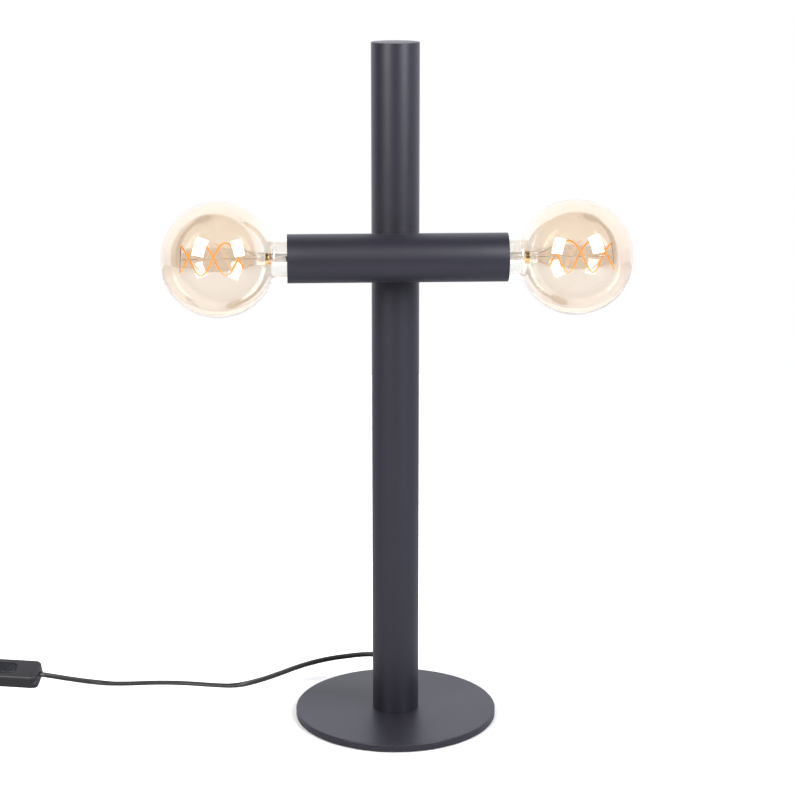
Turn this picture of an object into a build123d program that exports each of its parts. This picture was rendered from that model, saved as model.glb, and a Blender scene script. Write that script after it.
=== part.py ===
from build123d import *
import math
import os

# Table lamp: a post on a round base, a short cross arm on the front of the post, a globe bulb in each
# end of the arm, and a flat cord with a rocker switch, a tied coil and a plug.
# Millimetres. +Z is up, the arm runs along X, the front of the lamp faces -Y, and the origin is the
# centre of the base's underside, on the table.

# Post and arm, of the same tube
TUBE_D = 40.0
TUBE_WALL = 1.5
LAMP_HEIGHT = 585.0
ARM_LENGTH = 180.0
ARM_HEIGHT = 414.0
TUBE_EDGE = 0.4

# Base
BASE_D = 175.0
PLATE_THICKNESS = 6.0
PLATE_EDGE = 0.8
PAD_THICKNESS = 1.0
PAD_INSET = 3.0
PAD_HOLE_D = 26.0

# Bolt from below and the slug that it screws into
BOLT_D = 8.0
BOLT_HEAD_D = 15.2
BOLT_HEAD_SINK = 0.2
BOLT_LENGTH = 17.0
BOLT_SOCKET = 5.0
BOLT_SOCKET_DEPTH = 2.5
SLUG_LENGTH = 14.0
SLUG_CHAMFER = 1.0

# Cap in the top of the post
CAP_THICKNESS = 2.0
CAP_SKIRT = 9.0
CAP_WALL = 1.5

# Crossing of post and arm
SADDLE_GAP = 1.0
SADDLE_D = 18.0
NIPPLE_D = 10.0
NIPPLE_BORE = 7.2
NIPPLE_PROUD = 1.5
SADDLE_WASHER_D = 16.0
SADDLE_WASHER_T = 3.0
NUT_FLATS = 14.0
NUT_T = 4.0

# Clearances
THREAD_CLEARANCE = 0.05
HOLE_CLEARANCE = 0.1
PRESS_CLEARANCE = 0.05
SINK_CLEARANCE = 0.2
MOVING_CLEARANCE = 0.3
BUTT_CLEARANCE = 0.05

# Cord: two cores side by side, oval in section
CORD_THICK = 2.8
CORD_WIDE = 4.6
CORD_CHAMFER = 0.82
CORD_HOLE_CLEARANCE = 0.2

# Strain relief at the rear of the post
RELIEF_HEIGHT = 31.5
RELIEF_BODY_D = 9.0
RELIEF_FLANGE_D = 13.0
RELIEF_FLANGE_T = 2.5
RELIEF_ROOT_D = 10.0
RELIEF_TIP_D = 7.6
RELIEF_TAPER = 11.5
RELIEF_INSIDE = 7.0
RELIEF_NUT_FLATS = 13.0
RELIEF_NUT_T = 3.0
RELIEF_GROOVES = 3
RELIEF_GROOVE_W = 1.2
RELIEF_GROOVE_DEPTH = 0.5

# Lead inside the post
LEAD_D = 4.0
LEAD_Y = 2.0
LEAD_BEND_R = 7.5

# Terminal block and wires in the arm
BLOCK_SIZE = (18.0, 12.0, 13.0)
BLOCK_Y_OFFSET = -1.0
BLOCK_CHAMFER = 1.5
WIRE_D = 2.2
WIRE_SIDES = 8
WIRE_SPREAD = 2.8

# Lampholder, measured outward from the middle of the arm along its axis
BRACKET_SET_IN = 60.0
BRACKET_T = 2.0
BRACKET_RIM = 7.0
HOLDER_NUT_T = 3.0
HOLDER_NIPPLE_LENGTH = 14.0
HOLDER_NIPPLE_PROUD = 1.2
HOLDER_D = 34.0
HOLDER_SET_BACK = 6.0
HOLDER_CHAMFER = 2.0
HOLDER_NIPPLE_SEAT = 8.0
SHELL_WALL = 0.3
SHELL_LENGTH = 22.0
SHELL_SET_BACK = 4.0
CONTACT_W = 5.0
CONTACT_T = 0.6
CONTACT_FOOT = 5.0
CONTACT_RISE = 3.3

# Bulb
BULB_D = 95.0
BULB_LENGTH = 138.0
BULB_OUT = 56.0
NECK_CLEARANCE = 0.5
NECK_FILLET = 6.0
NECK_SHOULDER = 5.0
NECK_START = 0.5
BANDS_TO_NECK = 6
BANDS_TO_TIP = 8
GLASS_WALL = 1.0
SCREW_CAP_D = 26.4
SCREW_CAP_LENGTH = 26.5
SCREW_CAP_WALL = 0.4
CAP_CONE = 4.0
CAP_CONE_RISE = 1.0
CAP_CONE_D = 22.0
CENTRE_CONTACT_D = 11.0
CENTRE_CONTACT_T = 1.6
INSULATOR_T = 8.0
STEM_D = 9.3
STEM_WALL = 0.9
STEM_LENGTH = 26.0
STEM_FLARE = 5.0
STEM_SET_IN = 1.5
PRESS_LENGTH = 10.0
PRESS_T = 3.6
PRESS_CORNER = 1.1
SUPPORT_D = 1.2
LEAD_WIRE_D = 0.8
LEAD_WIRE_SPREAD = 2.6

# Filament: two strands, half a turn apart, round the support rod
FILAMENT_D = 1.6
FILAMENT_R = 13.2
FILAMENT_PITCH = 40.6
FILAMENT_BEFORE = 20.5
FILAMENT_BEYOND = 30.7
FILAMENT_PHASE = 5.0
FILAMENT_STEPS = 8
FILAMENT_SIDES = 6

# Switch in the cord
SWITCH_LENGTH = 64.0
SWITCH_WIDTH = 25.0
SWITCH_HEIGHT = 14.5
SWITCH_TILT = 21.0
SWITCH_BEVEL_HEIGHT = 2.2
SWITCH_YAW = -11.3
SWITCH_FOOT = (-323.8, 70.3)
SWITCH_CORNER_R = 3.0
SWITCH_EDGE_R = 1.2
SWITCH_WALL = 1.6
SWITCH_SPLIT = 8.7
ROCKER_LENGTH = 21.0
ROCKER_WIDTH = 12.4
ROCKER_CORNER = 3.6
ROCKER_DEPTH = 5.0
ROCKER_PROUD = 0.6
ROCKER_THROW = 6.0
ROCKER_GAP = 0.6
PIVOT_DROP = 3.4
PIVOT_PIN_D = 2.4
PIVOT_RUNNING = 0.08
CHEEK_T = 1.5
CHEEK_LENGTH = 7.0
CHEEK_DROP = 5.2
CHEEK_ROOT = 0.2
ROCKER_EDGE = 0.5
SWITCH_SCREW_X = 24.0
SWITCH_SCREW_D = 2.6
SWITCH_SCREW_HEAD_D = 5.0
SWITCH_SCREW_HEAD_T = 1.6
SWITCH_BOSS_D = 6.4
BRIDGE_SIZE = (9.0, 4.0, 0.6)
FIXED_CONTACT_X = 14.0
FIXED_CONTACT_T = 0.8
FIXED_CONTACT_W = 5.0

# Coil of the cord that is put away, wound on edge in two layers, spiralling in and then out
COIL_OUTER_R = 33.0
COIL_PITCH = 3.3
COIL_LAYER = 5.1
COIL_TURNS_IN = 4.25
COIL_CLIMB = 0.5
COIL_LIFT = 1.0
COIL_END_ANGLE = 250.0
COIL_END_RUN = 4.6
SWITCH_TO_COIL = 54.0

# Tie round the coil
TIE_ANGLE = 180.0
TIE_WIDTH = 6.0
TIE_T = 0.8
TIE_SLACK = 0.2
TIE_HEAD = 3.0
TIE_HEAD_TALL = 4.5

# Two-pin plug
PLUG_LENGTH = 38.0
PLUG_WIDTH = 35.3
PLUG_T = 13.7
PLUG_NECK_W = 10.0
PLUG_NECK_LENGTH = 10.0
PLUG_SHOULDER = 24.0
PLUG_CORNER = 5.0
PLUG_EDGE = 2.2
PLUG_WAIST_R = 8.0
PIN_D = 4.0
PIN_LENGTH = 19.0
PIN_SPACING = 18.6
PIN_SLEEVE_LENGTH = 10.0
PIN_SLEEVE_D = 3.6
PIN_SLEEVE_WALL = 0.3
PIN_ROOT = 6.0

# Route of the cord from the strain relief to the switch, between its two ends
ROUTE_TO_SWITCH = [
    (0, 47.5, 31.2), (-7, 60, 30.5), (-20, 67, 29.6), (-39, 68.5, 27.5), (-61, 67.5, 24.9), (-84, 66, 19.5),
    (-106, 64.8, 11.4), (-126, 63.8, 5.4), (-143, 63.8, 2.5), (-165, 67.6, 2.5), (-190, 73.6, 2.5),
    (-216, 76, 2.5), (-240, 74.4, 2.5), (-261, 74, 2.6), (-279, 74.6, 4.4), (-296, 76, 8)]
SWITCH_RUN = 12.0
GUIDE = 50.0

# Drop of the cord from the switch to the coil: share of the way, height
DROP_TO_COIL = [(0.2, 10.6), (0.4, 8.4), (0.6, 5.0), (0.8, 3.3)]
TAIL_RUN = 9.0

# Worked out from the sizes above
TUBE_R = TUBE_D / 2
BORE_R = TUBE_R - TUBE_WALL
BASE_TOP = PAD_THICKNESS + PLATE_THICKNESS
ARM_Y = -(TUBE_D + SADDLE_GAP)
ARM_END = ARM_LENGTH / 2
BRACKET_AT = ARM_END - BRACKET_SET_IN
BULB_CENTRE = ARM_END + BULB_OUT
FILAMENT_NEAR = BULB_CENTRE - FILAMENT_BEFORE
FILAMENT_FAR = BULB_CENTRE + FILAMENT_BEYOND
FILAMENT_ZERO = BULB_CENTRE + FILAMENT_PHASE
NECK_R = BORE_R - NECK_CLEARANCE
BULB_R = BULB_D / 2
BULB_TIP = BULB_CENTRE + BULB_R
CONTACT_TIP = BULB_TIP - BULB_LENGTH
CAP_RIM = CONTACT_TIP + SCREW_CAP_LENGTH
CAP_FOOT = CONTACT_TIP + CENTRE_CONTACT_T
GLASS_END = CAP_RIM - NECK_SHOULDER
HOLDER_MOUTH = ARM_END - HOLDER_SET_BACK
HOLDER_BACK = BRACKET_AT + BRACKET_T
HOLDER_FLOOR = CONTACT_TIP - MOVING_CLEARANCE - CONTACT_RISE
STEM_FOOT = GLASS_END + STEM_SET_IN
PRESS_END = STEM_FOOT + STEM_LENGTH + PRESS_LENGTH
STRAND_REACH = FILAMENT_D / math.sqrt(3) + BUTT_CLEARANCE
RELIEF_TIP_Y = TUBE_R + RELIEF_FLANGE_T + RELIEF_TAPER
COIL_LOW_Z = COIL_LIFT + CORD_WIDE / 2
COIL_TOP_Z = COIL_LOW_Z + COIL_LAYER
COIL_INNER_R = COIL_OUTER_R - COIL_TURNS_IN * COIL_PITCH
SWITCH_HALF = SWITCH_LENGTH / 2
SWITCH_BEVEL = SWITCH_BEVEL_HEIGHT / math.tan(math.radians(SWITCH_TILT))
PIVOT_Z = SWITCH_HEIGHT - PIVOT_DROP
WALL_CUT = 4 * TUBE_WALL


def rod(start, end, diameter):
    """A round bar from one point to another."""
    start, end = Vector(*start), Vector(*end)
    way = end - start
    bar = Cylinder(diameter / 2, way.length, align=(Align.CENTER, Align.CENTER, Align.MIN))
    return Plane(start, z_dir=way) * bar


def wire(start, end, diameter):
    """A thin bar with a few flat sides from one point to another."""
    start, end = Vector(*start), Vector(*end)
    way = end - start
    section = RegularPolygon(diameter / 2, WIRE_SIDES, major_radius=False)
    return extrude(Plane(start, z_dir=way) * section, way.length)


def turned(points):
    """A solid turned about Z from a closed outline of (radius, height) points."""
    return revolve(Plane.XZ * make_face(Polyline(*points, close=True)), Axis.Z)


def ring(outer_r, inner_r, low, high):
    return turned([(inner_r, low), (outer_r, low), (outer_r, high), (inner_r, high)])


def hex_nut(flats, hole_d, low, high):
    blank = Pos(0, 0, low) * extrude(RegularPolygon(flats / 2, 6, major_radius=False), high - low)
    return blank - ring(hole_d / 2, 0, low, high)


def to_y(shape):
    """Turn a piece made along +Z to run along +Y."""
    return Rot(-90, 0, 0) * shape


def on_arm(shape):
    """Turn a piece made along +Z to run outward along the arm's axis."""
    return Pos(0, ARM_Y, ARM_HEIGHT) * Rot(0, 90, 0) * shape


def both_sides(name, shape):
    """The same piece for the right and the left end of the arm."""
    return {"right_" + name: shape, "left_" + name: mirror(shape, about=Plane.YZ)}


def base_plate():
    plate = Pos(0, 0, PAD_THICKNESS) * Cylinder(
        BASE_D / 2, PLATE_THICKNESS, align=(Align.CENTER, Align.CENTER, Align.MIN))
    plate = chamfer(plate.edges().group_by(Axis.Z)[-1], PLATE_EDGE)
    sink_r = BOLT_HEAD_D / 2 + SINK_CLEARANCE
    hole_r = BOLT_D / 2 + SINK_CLEARANCE
    low = PAD_THICKNESS
    return plate - turned([(0, low), (sink_r, low), (sink_r, low + BOLT_HEAD_SINK),
                           (hole_r, low + BOLT_HEAD_SINK + sink_r - hole_r), (hole_r, BASE_TOP), (0, BASE_TOP)])


def base_pad():
    return ring(BASE_D / 2 - PAD_INSET, PAD_HOLE_D / 2, 0, PAD_THICKNESS)


def base_bolt():
    head_r, shank_r = BOLT_HEAD_D / 2, BOLT_D / 2 - THREAD_CLEARANCE
    low = PAD_THICKNESS + BOLT_HEAD_SINK
    bolt = turned([(0, low), (head_r, low), (shank_r, low + head_r - shank_r),
                   (shank_r, low + BOLT_LENGTH), (0, low + BOLT_LENGTH)])
    socket = Pos(0, 0, low) * extrude(RegularPolygon(BOLT_SOCKET / 2, 6, major_radius=False), BOLT_SOCKET_DEPTH)
    return bolt - socket


def post_foot():
    slug_r = BORE_R - PRESS_CLEARANCE
    top = BASE_TOP + SLUG_LENGTH
    hole_top = PAD_THICKNESS + BOLT_HEAD_SINK + BOLT_LENGTH + HOLE_CLEARANCE
    slug = Pos(0, 0, BASE_TOP) * Cylinder(slug_r, SLUG_LENGTH, align=(Align.CENTER, Align.CENTER, Align.MIN))
    slug = chamfer(slug.edges().group_by(Axis.Z)[-1], SLUG_CHAMFER)
    return slug - ring(BOLT_D / 2, 0, BASE_TOP, min(hole_top, top))


def post_tube():
    tube = ring(TUBE_R, BORE_R, BASE_TOP, LAMP_HEIGHT)
    tube = chamfer(tube.edges().group_by(Axis.Z)[-1].sort_by(SortBy.RADIUS)[-1], TUBE_EDGE)
    relief_hole = Pos(0, TUBE_R - TUBE_WALL / 2, RELIEF_HEIGHT) * to_y(
        Cylinder(RELIEF_BODY_D / 2 + HOLE_CLEARANCE, WALL_CUT))
    nipple_hole = Pos(0, -TUBE_R + TUBE_WALL / 2, ARM_HEIGHT) * to_y(
        Cylinder(NIPPLE_D / 2 + HOLE_CLEARANCE, WALL_CUT))
    return tube - relief_hole - nipple_hole


def post_cap():
    outer_r = BORE_R - PRESS_CLEARANCE
    top, floor = LAMP_HEIGHT, LAMP_HEIGHT - CAP_THICKNESS
    low = LAMP_HEIGHT - CAP_SKIRT
    return turned([(0, floor), (outer_r - CAP_WALL, floor), (outer_r - CAP_WALL, low), (outer_r, low),
                   (outer_r, top - TUBE_EDGE), (outer_r - TUBE_EDGE, top), (0, top)])


def cord_section(plane, clearance=0.0):
    """The cord's flat oval, given eight sides and standing on edge."""
    x, y, c = CORD_THICK / 2 + clearance, CORD_WIDE / 2 + clearance, CORD_CHAMFER
    return plane * make_face(Polyline((x, -y + c), (x, y - c), (x - c, y), (-x + c, y), (-x, y - c),
                                      (-x, -y + c), (-x + c, -y), (x - c, -y), close=True))


def cord_bore(length):
    """A passage for the cord, made along +Y, wide way up."""
    face = cord_section(Plane((0, 0, 0), x_dir=(-1, 0, 0), z_dir=(0, 1, 0)), CORD_HOLE_CLEARANCE)
    return extrude(face, length)


def strain_relief():
    """Tapered sleeve whose flange is hollowed to sit on the post."""
    inside, tip = BORE_R - RELIEF_INSIDE, RELIEF_TIP_Y
    root = TUBE_R + RELIEF_FLANGE_T
    body_r, flange_r = RELIEF_BODY_D / 2, RELIEF_FLANGE_D / 2
    root_r, tip_r = RELIEF_ROOT_D / 2, RELIEF_TIP_D / 2
    flange_back = math.sqrt(TUBE_R ** 2 - flange_r ** 2)
    outline = [(0, inside), (body_r, inside), (body_r, flange_back), (flange_r, flange_back),
               (flange_r, root), (root_r, root)]
    for i in range(RELIEF_GROOVES):
        share = (i + 1) / (RELIEF_GROOVES + 1)
        at, r, half = root + RELIEF_TAPER * share, root_r + (tip_r - root_r) * share, RELIEF_GROOVE_W / 2
        outline += [(r, at - half), (r - RELIEF_GROOVE_DEPTH, at), (r, at + half)]
    sleeve = Pos(0, 0, RELIEF_HEIGHT) * to_y(turned(outline + [(tip_r, tip), (0, tip)]))
    flange_only = Pos(0, TUBE_R, RELIEF_HEIGHT) * to_y(ring(flange_r + 1, body_r, -RELIEF_FLANGE_D, 0))
    post_wall = Cylinder(TUBE_R, 4 * RELIEF_HEIGHT) & flange_only
    bore = Pos(0, inside, RELIEF_HEIGHT) * cord_bore(tip - inside)
    return sleeve - post_wall - bore


def relief_nut():
    """Nut inside the post; its corners bear on the round wall."""
    corner_r = RELIEF_NUT_FLATS / math.sqrt(3)
    face = math.sqrt(BORE_R ** 2 - corner_r ** 2) - BUTT_CLEARANCE
    hole_d = RELIEF_BODY_D + 2 * THREAD_CLEARANCE
    return Pos(0, 0, RELIEF_HEIGHT) * to_y(hex_nut(RELIEF_NUT_FLATS, hole_d, face - RELIEF_NUT_T, face))


def post_lead():
    """Lead from the strain relief up the post and forward through the nipple to the terminal block."""
    start = (0, BORE_R - RELIEF_INSIDE - BUTT_CLEARANCE, RELIEF_HEIGHT)
    end = (0, ARM_Y + BLOCK_Y_OFFSET + BLOCK_SIZE[1] / 2 + BUTT_CLEARANCE, ARM_HEIGHT)
    path = FilletPolyline(start, (0, LEAD_Y, RELIEF_HEIGHT), (0, LEAD_Y, ARM_HEIGHT), end, radius=LEAD_BEND_R)
    section = RegularPolygon(LEAD_D / 2, WIRE_SIDES, major_radius=False)
    return sweep(Plane(start, z_dir=(0, -1, 0)) * section, path)


def arm_tube():
    tube = ring(TUBE_R, BORE_R, -ARM_END, ARM_END)
    rims = tube.edges().filter_by(GeomType.CIRCLE).sort_by(SortBy.RADIUS)[-2:]
    tube = on_arm(chamfer(rims, TUBE_EDGE))
    nipple_hole = Pos(0, ARM_Y + TUBE_R - TUBE_WALL / 2, ARM_HEIGHT) * to_y(
        Cylinder(NIPPLE_D / 2 + HOLE_CLEARANCE, WALL_CUT))
    return tube - nipple_hole


def saddle_spacer():
    """Ring between post and arm, hollowed to fit both tubes."""
    blank = Pos(0, ARM_Y / 2, ARM_HEIGHT) * to_y(
        Cylinder(SADDLE_D / 2, SADDLE_D) - Cylinder(NIPPLE_D / 2 + HOLE_CLEARANCE, SADDLE_D))
    post = Pos(0, 0, ARM_HEIGHT) * Cylinder(TUBE_R, 2 * SADDLE_D)
    arm = on_arm(Cylinder(TUBE_R, 2 * SADDLE_D))
    return blank - post - arm


def joint_nipple():
    reach = SADDLE_WASHER_T + NUT_T + NIPPLE_PROUD
    post_end, arm_end = -BORE_R + reach, ARM_Y + BORE_R - reach
    return Pos(0, 0, ARM_HEIGHT) * to_y(
        ring(NIPPLE_D / 2 - THREAD_CLEARANCE, NIPPLE_BORE / 2, arm_end, post_end))


def joint_washers():
    """Washers inside the two tubes, rounded on one face to fit the wall."""
    hole = NIPPLE_D / 2 + HOLE_CLEARANCE
    post_blank = ring(SADDLE_WASHER_D / 2, hole, -BORE_R, -BORE_R + SADDLE_WASHER_T)
    arm_blank = ring(SADDLE_WASHER_D / 2, hole, ARM_Y + BORE_R - SADDLE_WASHER_T, ARM_Y + BORE_R)
    lift = Pos(0, 0, ARM_HEIGHT)
    in_post = (lift * to_y(post_blank)) & (lift * Cylinder(BORE_R, 2 * SADDLE_D))
    in_arm = (lift * to_y(arm_blank)) & on_arm(Cylinder(BORE_R, 2 * SADDLE_D))
    return Compound(children=[in_post.solid(), in_arm.solid()])


def joint_nuts():
    hole_d = NIPPLE_D + 2 * THREAD_CLEARANCE
    post_face, arm_face = -BORE_R + SADDLE_WASHER_T, ARM_Y + BORE_R - SADDLE_WASHER_T
    lift = Pos(0, 0, ARM_HEIGHT)
    post_nut = lift * to_y(hex_nut(NUT_FLATS, hole_d, post_face, post_face + NUT_T))
    arm_nut = lift * to_y(hex_nut(NUT_FLATS, hole_d, arm_face - NUT_T, arm_face))
    return Compound(children=[post_nut.solid(), arm_nut.solid()])


def terminal_block():
    block = Pos(0, ARM_Y + BLOCK_Y_OFFSET, ARM_HEIGHT) * Box(*BLOCK_SIZE)
    return chamfer(block.edges().filter_by(Axis.Y), BLOCK_CHAMFER)


def holder_bracket():
    outer_r = BORE_R - PRESS_CLEARANCE
    inner_r = outer_r - BRACKET_T
    hole_r = NIPPLE_D / 2 + HOLE_CLEARANCE
    return on_arm(turned([(hole_r, BRACKET_AT), (inner_r, BRACKET_AT), (inner_r, BRACKET_AT - BRACKET_RIM),
                          (outer_r, BRACKET_AT - BRACKET_RIM), (outer_r, HOLDER_BACK), (hole_r, HOLDER_BACK)]))


def holder_nipple():
    low = BRACKET_AT - HOLDER_NUT_T - HOLDER_NIPPLE_PROUD
    return on_arm(ring(NIPPLE_D / 2 - THREAD_CLEARANCE, NIPPLE_BORE / 2, low, low + HOLDER_NIPPLE_LENGTH))


def holder_nut():
    return on_arm(hex_nut(NUT_FLATS, NIPPLE_D + 2 * THREAD_CLEARANCE, BRACKET_AT - HOLDER_NUT_T, BRACKET_AT))


def holder_cup():
    """Insulating cup of the lampholder, screwed onto the nipple."""
    outer_r = HOLDER_D / 2
    bore_r = SCREW_CAP_D / 2 + MOVING_CLEARANCE + SHELL_WALL + HOLE_CLEARANCE
    seat_r = NIPPLE_D / 2
    seat = HOLDER_BACK + HOLDER_NIPPLE_SEAT
    shape = turned([(seat_r, HOLDER_BACK), (outer_r - HOLDER_CHAMFER, HOLDER_BACK),
                    (outer_r, HOLDER_BACK + HOLDER_CHAMFER), (outer_r, HOLDER_MOUTH), (bore_r, HOLDER_MOUTH),
                    (bore_r, HOLDER_FLOOR), (0, HOLDER_FLOOR), (0, seat), (seat_r, seat)])
    return on_arm(shape)


def holder_shell():
    inner_r = SCREW_CAP_D / 2 + MOVING_CLEARANCE
    high = HOLDER_MOUTH - SHELL_SET_BACK
    return on_arm(ring(inner_r + SHELL_WALL, inner_r, high - SHELL_LENGTH, high))


def holder_contact():
    """Sprung tongue at the bottom of the cup, up to just under the bulb's centre contact."""
    low, tip = HOLDER_FLOOR, CONTACT_TIP - MOVING_CLEARANCE
    foot = CENTRE_CONTACT_D / 2
    outline = Polyline((foot + CONTACT_FOOT, low), (foot + CONTACT_FOOT, low + CONTACT_T),
                       (foot, low + CONTACT_T), (CONTACT_T, tip), (-foot / 2, tip),
                       (-foot / 2, tip - CONTACT_T), (0, tip - CONTACT_T), (foot - CONTACT_T, low), close=True)
    return on_arm(extrude(Plane.XZ * make_face(outline), CONTACT_W / 2, both=True))


def holder_wires():
    start = BLOCK_SIZE[0] / 2 + BUTT_CLEARANCE
    end = HOLDER_BACK + HOLDER_NIPPLE_SEAT - BUTT_CLEARANCE
    y = ARM_Y + BLOCK_Y_OFFSET
    wires = []
    for side in (-1, 1):
        z = ARM_HEIGHT + side * WIRE_SPREAD / 2
        wires.append(wire((start, y, z), (end, y, z), WIRE_D).solid())
    return Compound(children=wires)


def globe(offset):
    """Closed outline of the bulb, taken inward by offset, turned about the arm's axis."""
    ball_r, neck_r, fillet_r = BULB_R - offset, NECK_R - offset, NECK_FILLET + offset
    end_r = SCREW_CAP_D / 2 - SCREW_CAP_WALL - HOLE_CLEARANCE - offset
    fillet_c = BULB_CENTRE - math.sqrt((ball_r + fillet_r) ** 2 - (neck_r + fillet_r) ** 2)
    drop = math.atan2(BULB_CENTRE - fillet_c, neck_r + fillet_r)
    bend = (neck_r + fillet_r - fillet_r * math.cos(drop / 2), fillet_c + fillet_r * math.sin(drop / 2))
    low = GLASS_END - offset
    shoulder = CAP_RIM + NECK_SHOULDER + (NECK_R - end_r - offset) / 2
    angles = [-drop * (1 - i / BANDS_TO_NECK) for i in range(BANDS_TO_NECK)]
    angles += [math.pi / 2 * i / BANDS_TO_TIP for i in range(BANDS_TO_TIP)]
    ball = [(ball_r * math.cos(angle), BULB_CENTRE + ball_r * math.sin(angle)) for angle in angles]
    return on_arm(turned([(0, low), (end_r, low), (end_r, CAP_RIM + NECK_START), (neck_r, shoulder),
                          (neck_r, fillet_c), bend, *ball, (0, BULB_CENTRE + ball_r)]))


def bulb_glass():
    return globe(0.0) - globe(GLASS_WALL)


def bulb_cap():
    outer_r = SCREW_CAP_D / 2
    inner_r = outer_r - SCREW_CAP_WALL
    cone_r = CAP_CONE_D / 2
    wide = CAP_FOOT + CAP_CONE
    low = wide - CAP_CONE_RISE
    return on_arm(turned([(cone_r, low), (outer_r, wide), (outer_r, CAP_RIM), (inner_r, CAP_RIM),
                          (inner_r, wide + SCREW_CAP_WALL), (cone_r - SCREW_CAP_WALL, low + SCREW_CAP_WALL)]))


def bulb_insulator():
    """Black glass cone between the screw cap and the centre contact."""
    cone_r = CAP_CONE_D / 2 - SCREW_CAP_WALL - PRESS_CLEARANCE
    low = CAP_FOOT + BUTT_CLEARANCE
    return on_arm(turned([(0, low), (CENTRE_CONTACT_D / 2, low), (cone_r, CAP_FOOT + CAP_CONE - CAP_CONE_RISE),
                          (cone_r, low + INSULATOR_T), (0, low + INSULATOR_T)]))


def bulb_contact():
    r = CENTRE_CONTACT_D / 2
    return on_arm(turned([(0, CONTACT_TIP), (r / 2, CONTACT_TIP), (r, CONTACT_TIP + CENTRE_CONTACT_T / 2),
                          (r, CAP_FOOT), (0, CAP_FOOT)]))


def bulb_stem():
    """Glass tube that flares to the neck and is pressed flat at its inner end."""
    flare_r = SCREW_CAP_D / 2 - SCREW_CAP_WALL - GLASS_WALL - 2 * HOLE_CLEARANCE
    stem_r = STEM_D / 2
    top = STEM_FOOT + STEM_LENGTH
    tube = turned([(flare_r - STEM_WALL, STEM_FOOT), (flare_r, STEM_FOOT), (stem_r, STEM_FOOT + STEM_FLARE),
                   (stem_r, top), (stem_r - STEM_WALL, top), (stem_r - STEM_WALL, STEM_FOOT + STEM_FLARE)])
    x, y = STEM_D / 2 - PRESS_CORNER, PRESS_T / 2 - PRESS_CORNER
    wide, thick = STEM_D / 2, PRESS_T / 2
    flat = make_face(Polyline((x, -thick), (wide, -y), (wide, y), (x, thick),
                              (-x, thick), (-wide, y), (-wide, -y), (-x, -thick), close=True))
    return on_arm(tube + extrude(Pos(0, 0, top) * flat, PRESS_LENGTH))


def strand_point(at, strand):
    """A point of one strand, at a distance along the arm's axis."""
    turn = 2 * math.pi * (at - FILAMENT_ZERO) / FILAMENT_PITCH + strand * math.pi
    return Vector(at, ARM_Y + FILAMENT_R * math.cos(turn), ARM_HEIGHT + FILAMENT_R * math.sin(turn))


def strand_way(at, strand):
    turn = 2 * math.pi * (at - FILAMENT_ZERO) / FILAMENT_PITCH + strand * math.pi
    speed = 2 * math.pi * FILAMENT_R / FILAMENT_PITCH
    return Vector(1, -speed * math.sin(turn), speed * math.cos(turn)).normalized()


def arcs_through(points, ways):
    """Pairs of tangent arcs through the points, with the given direction at each."""
    edges = []
    for start, start_way, end, end_way in zip(points, ways, points[1:], ways[1:]):
        span, both = end - start, start_way + end_way
        lean = 2 * (1 - start_way.dot(end_way))
        reach = (math.sqrt(span.dot(both) ** 2 + lean * span.dot(span)) - span.dot(both)) / lean
        joint = (start + end + (start_way - end_way) * reach) * 0.5
        first = Edge.make_tangent_arc(start, start_way, joint)
        edges += [first, Edge.make_tangent_arc(joint, first % 1, end)]
    return edges


def corner_radii(points, share=0.45):
    """The largest arc that each corner's two runs allow, and the turn there in degrees."""
    spots = [Vector(*p) for p in points]
    radii = []
    for a, b, c in zip(spots, spots[1:], spots[2:]):
        turn = (b - a).get_angle(c - b)
        radii.append(share * min((b - a).length, (c - b).length) / math.tan(math.radians(turn) / 2))
    return radii


def bulb_filament():
    strands = []
    for strand in (0, 1):
        step = (FILAMENT_FAR - FILAMENT_NEAR) / FILAMENT_STEPS
        stops = [FILAMENT_NEAR + i * step for i in range(FILAMENT_STEPS + 1)]
        spots, ways = [strand_point(at, strand) for at in stops], [strand_way(at, strand) for at in stops]
        path = Wire(arcs_through(spots, ways))
        section = RegularPolygon(FILAMENT_D / 2, FILAMENT_SIDES, major_radius=False)
        strands.append(sweep(Plane(path @ 0, z_dir=path % 0) * section, path).solid())
    return Compound(children=strands)


def short_of(start, end, gap):
    """The point that lies a gap before the end of a straight way."""
    end = Vector(*end)
    return tuple(end - (end - Vector(*start)).normalized() * gap)


def bulb_leads():
    """Two wires through the stem and from its press to the near ends of the strands."""
    low = CAP_FOOT + BUTT_CLEARANCE * 2 + INSULATOR_T
    wires = []
    for strand, side in ((0, 1), (1, -1)):
        z = ARM_HEIGHT + side * LEAD_WIRE_SPREAD
        stop = (STEM_FOOT + STEM_LENGTH - BUTT_CLEARANCE, ARM_Y, z)
        wires.append(wire((low, ARM_Y, z), stop, LEAD_WIRE_D).solid())
        out = (PRESS_END + LEAD_WIRE_D, ARM_Y, z)
        near = short_of(out, strand_point(FILAMENT_NEAR, strand), STRAND_REACH)
        wires.append(wire(out, near, LEAD_WIRE_D).solid())
    return Compound(children=wires)


def bulb_support():
    """Rod from the press to the far end, with a cross wire to each strand."""
    start = (PRESS_END + BUTT_CLEARANCE, ARM_Y, ARM_HEIGHT)
    tip = (FILAMENT_FAR, ARM_Y, ARM_HEIGHT)
    frame = wire(start, tip, SUPPORT_D)
    for strand in (0, 1):
        far = strand_point(FILAMENT_FAR, strand)
        frame += wire(tip, short_of(tip, far, STRAND_REACH), LEAD_WIRE_D)
    return frame


def switch_frame():
    """Where the switch lies: tipped forward on its bevel, its right end towards the lamp."""
    turn = Rot(0, 0, SWITCH_YAW) * Rot(SWITCH_TILT, 0, 0)
    foot = turn * Pos(SWITCH_HALF, -SWITCH_WIDTH / 2, SWITCH_BEVEL_HEIGHT)
    return Pos(SWITCH_FOOT[0] - foot.position.X, SWITCH_FOOT[1] - foot.position.Y, -foot.position.Z) * turn


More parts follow.
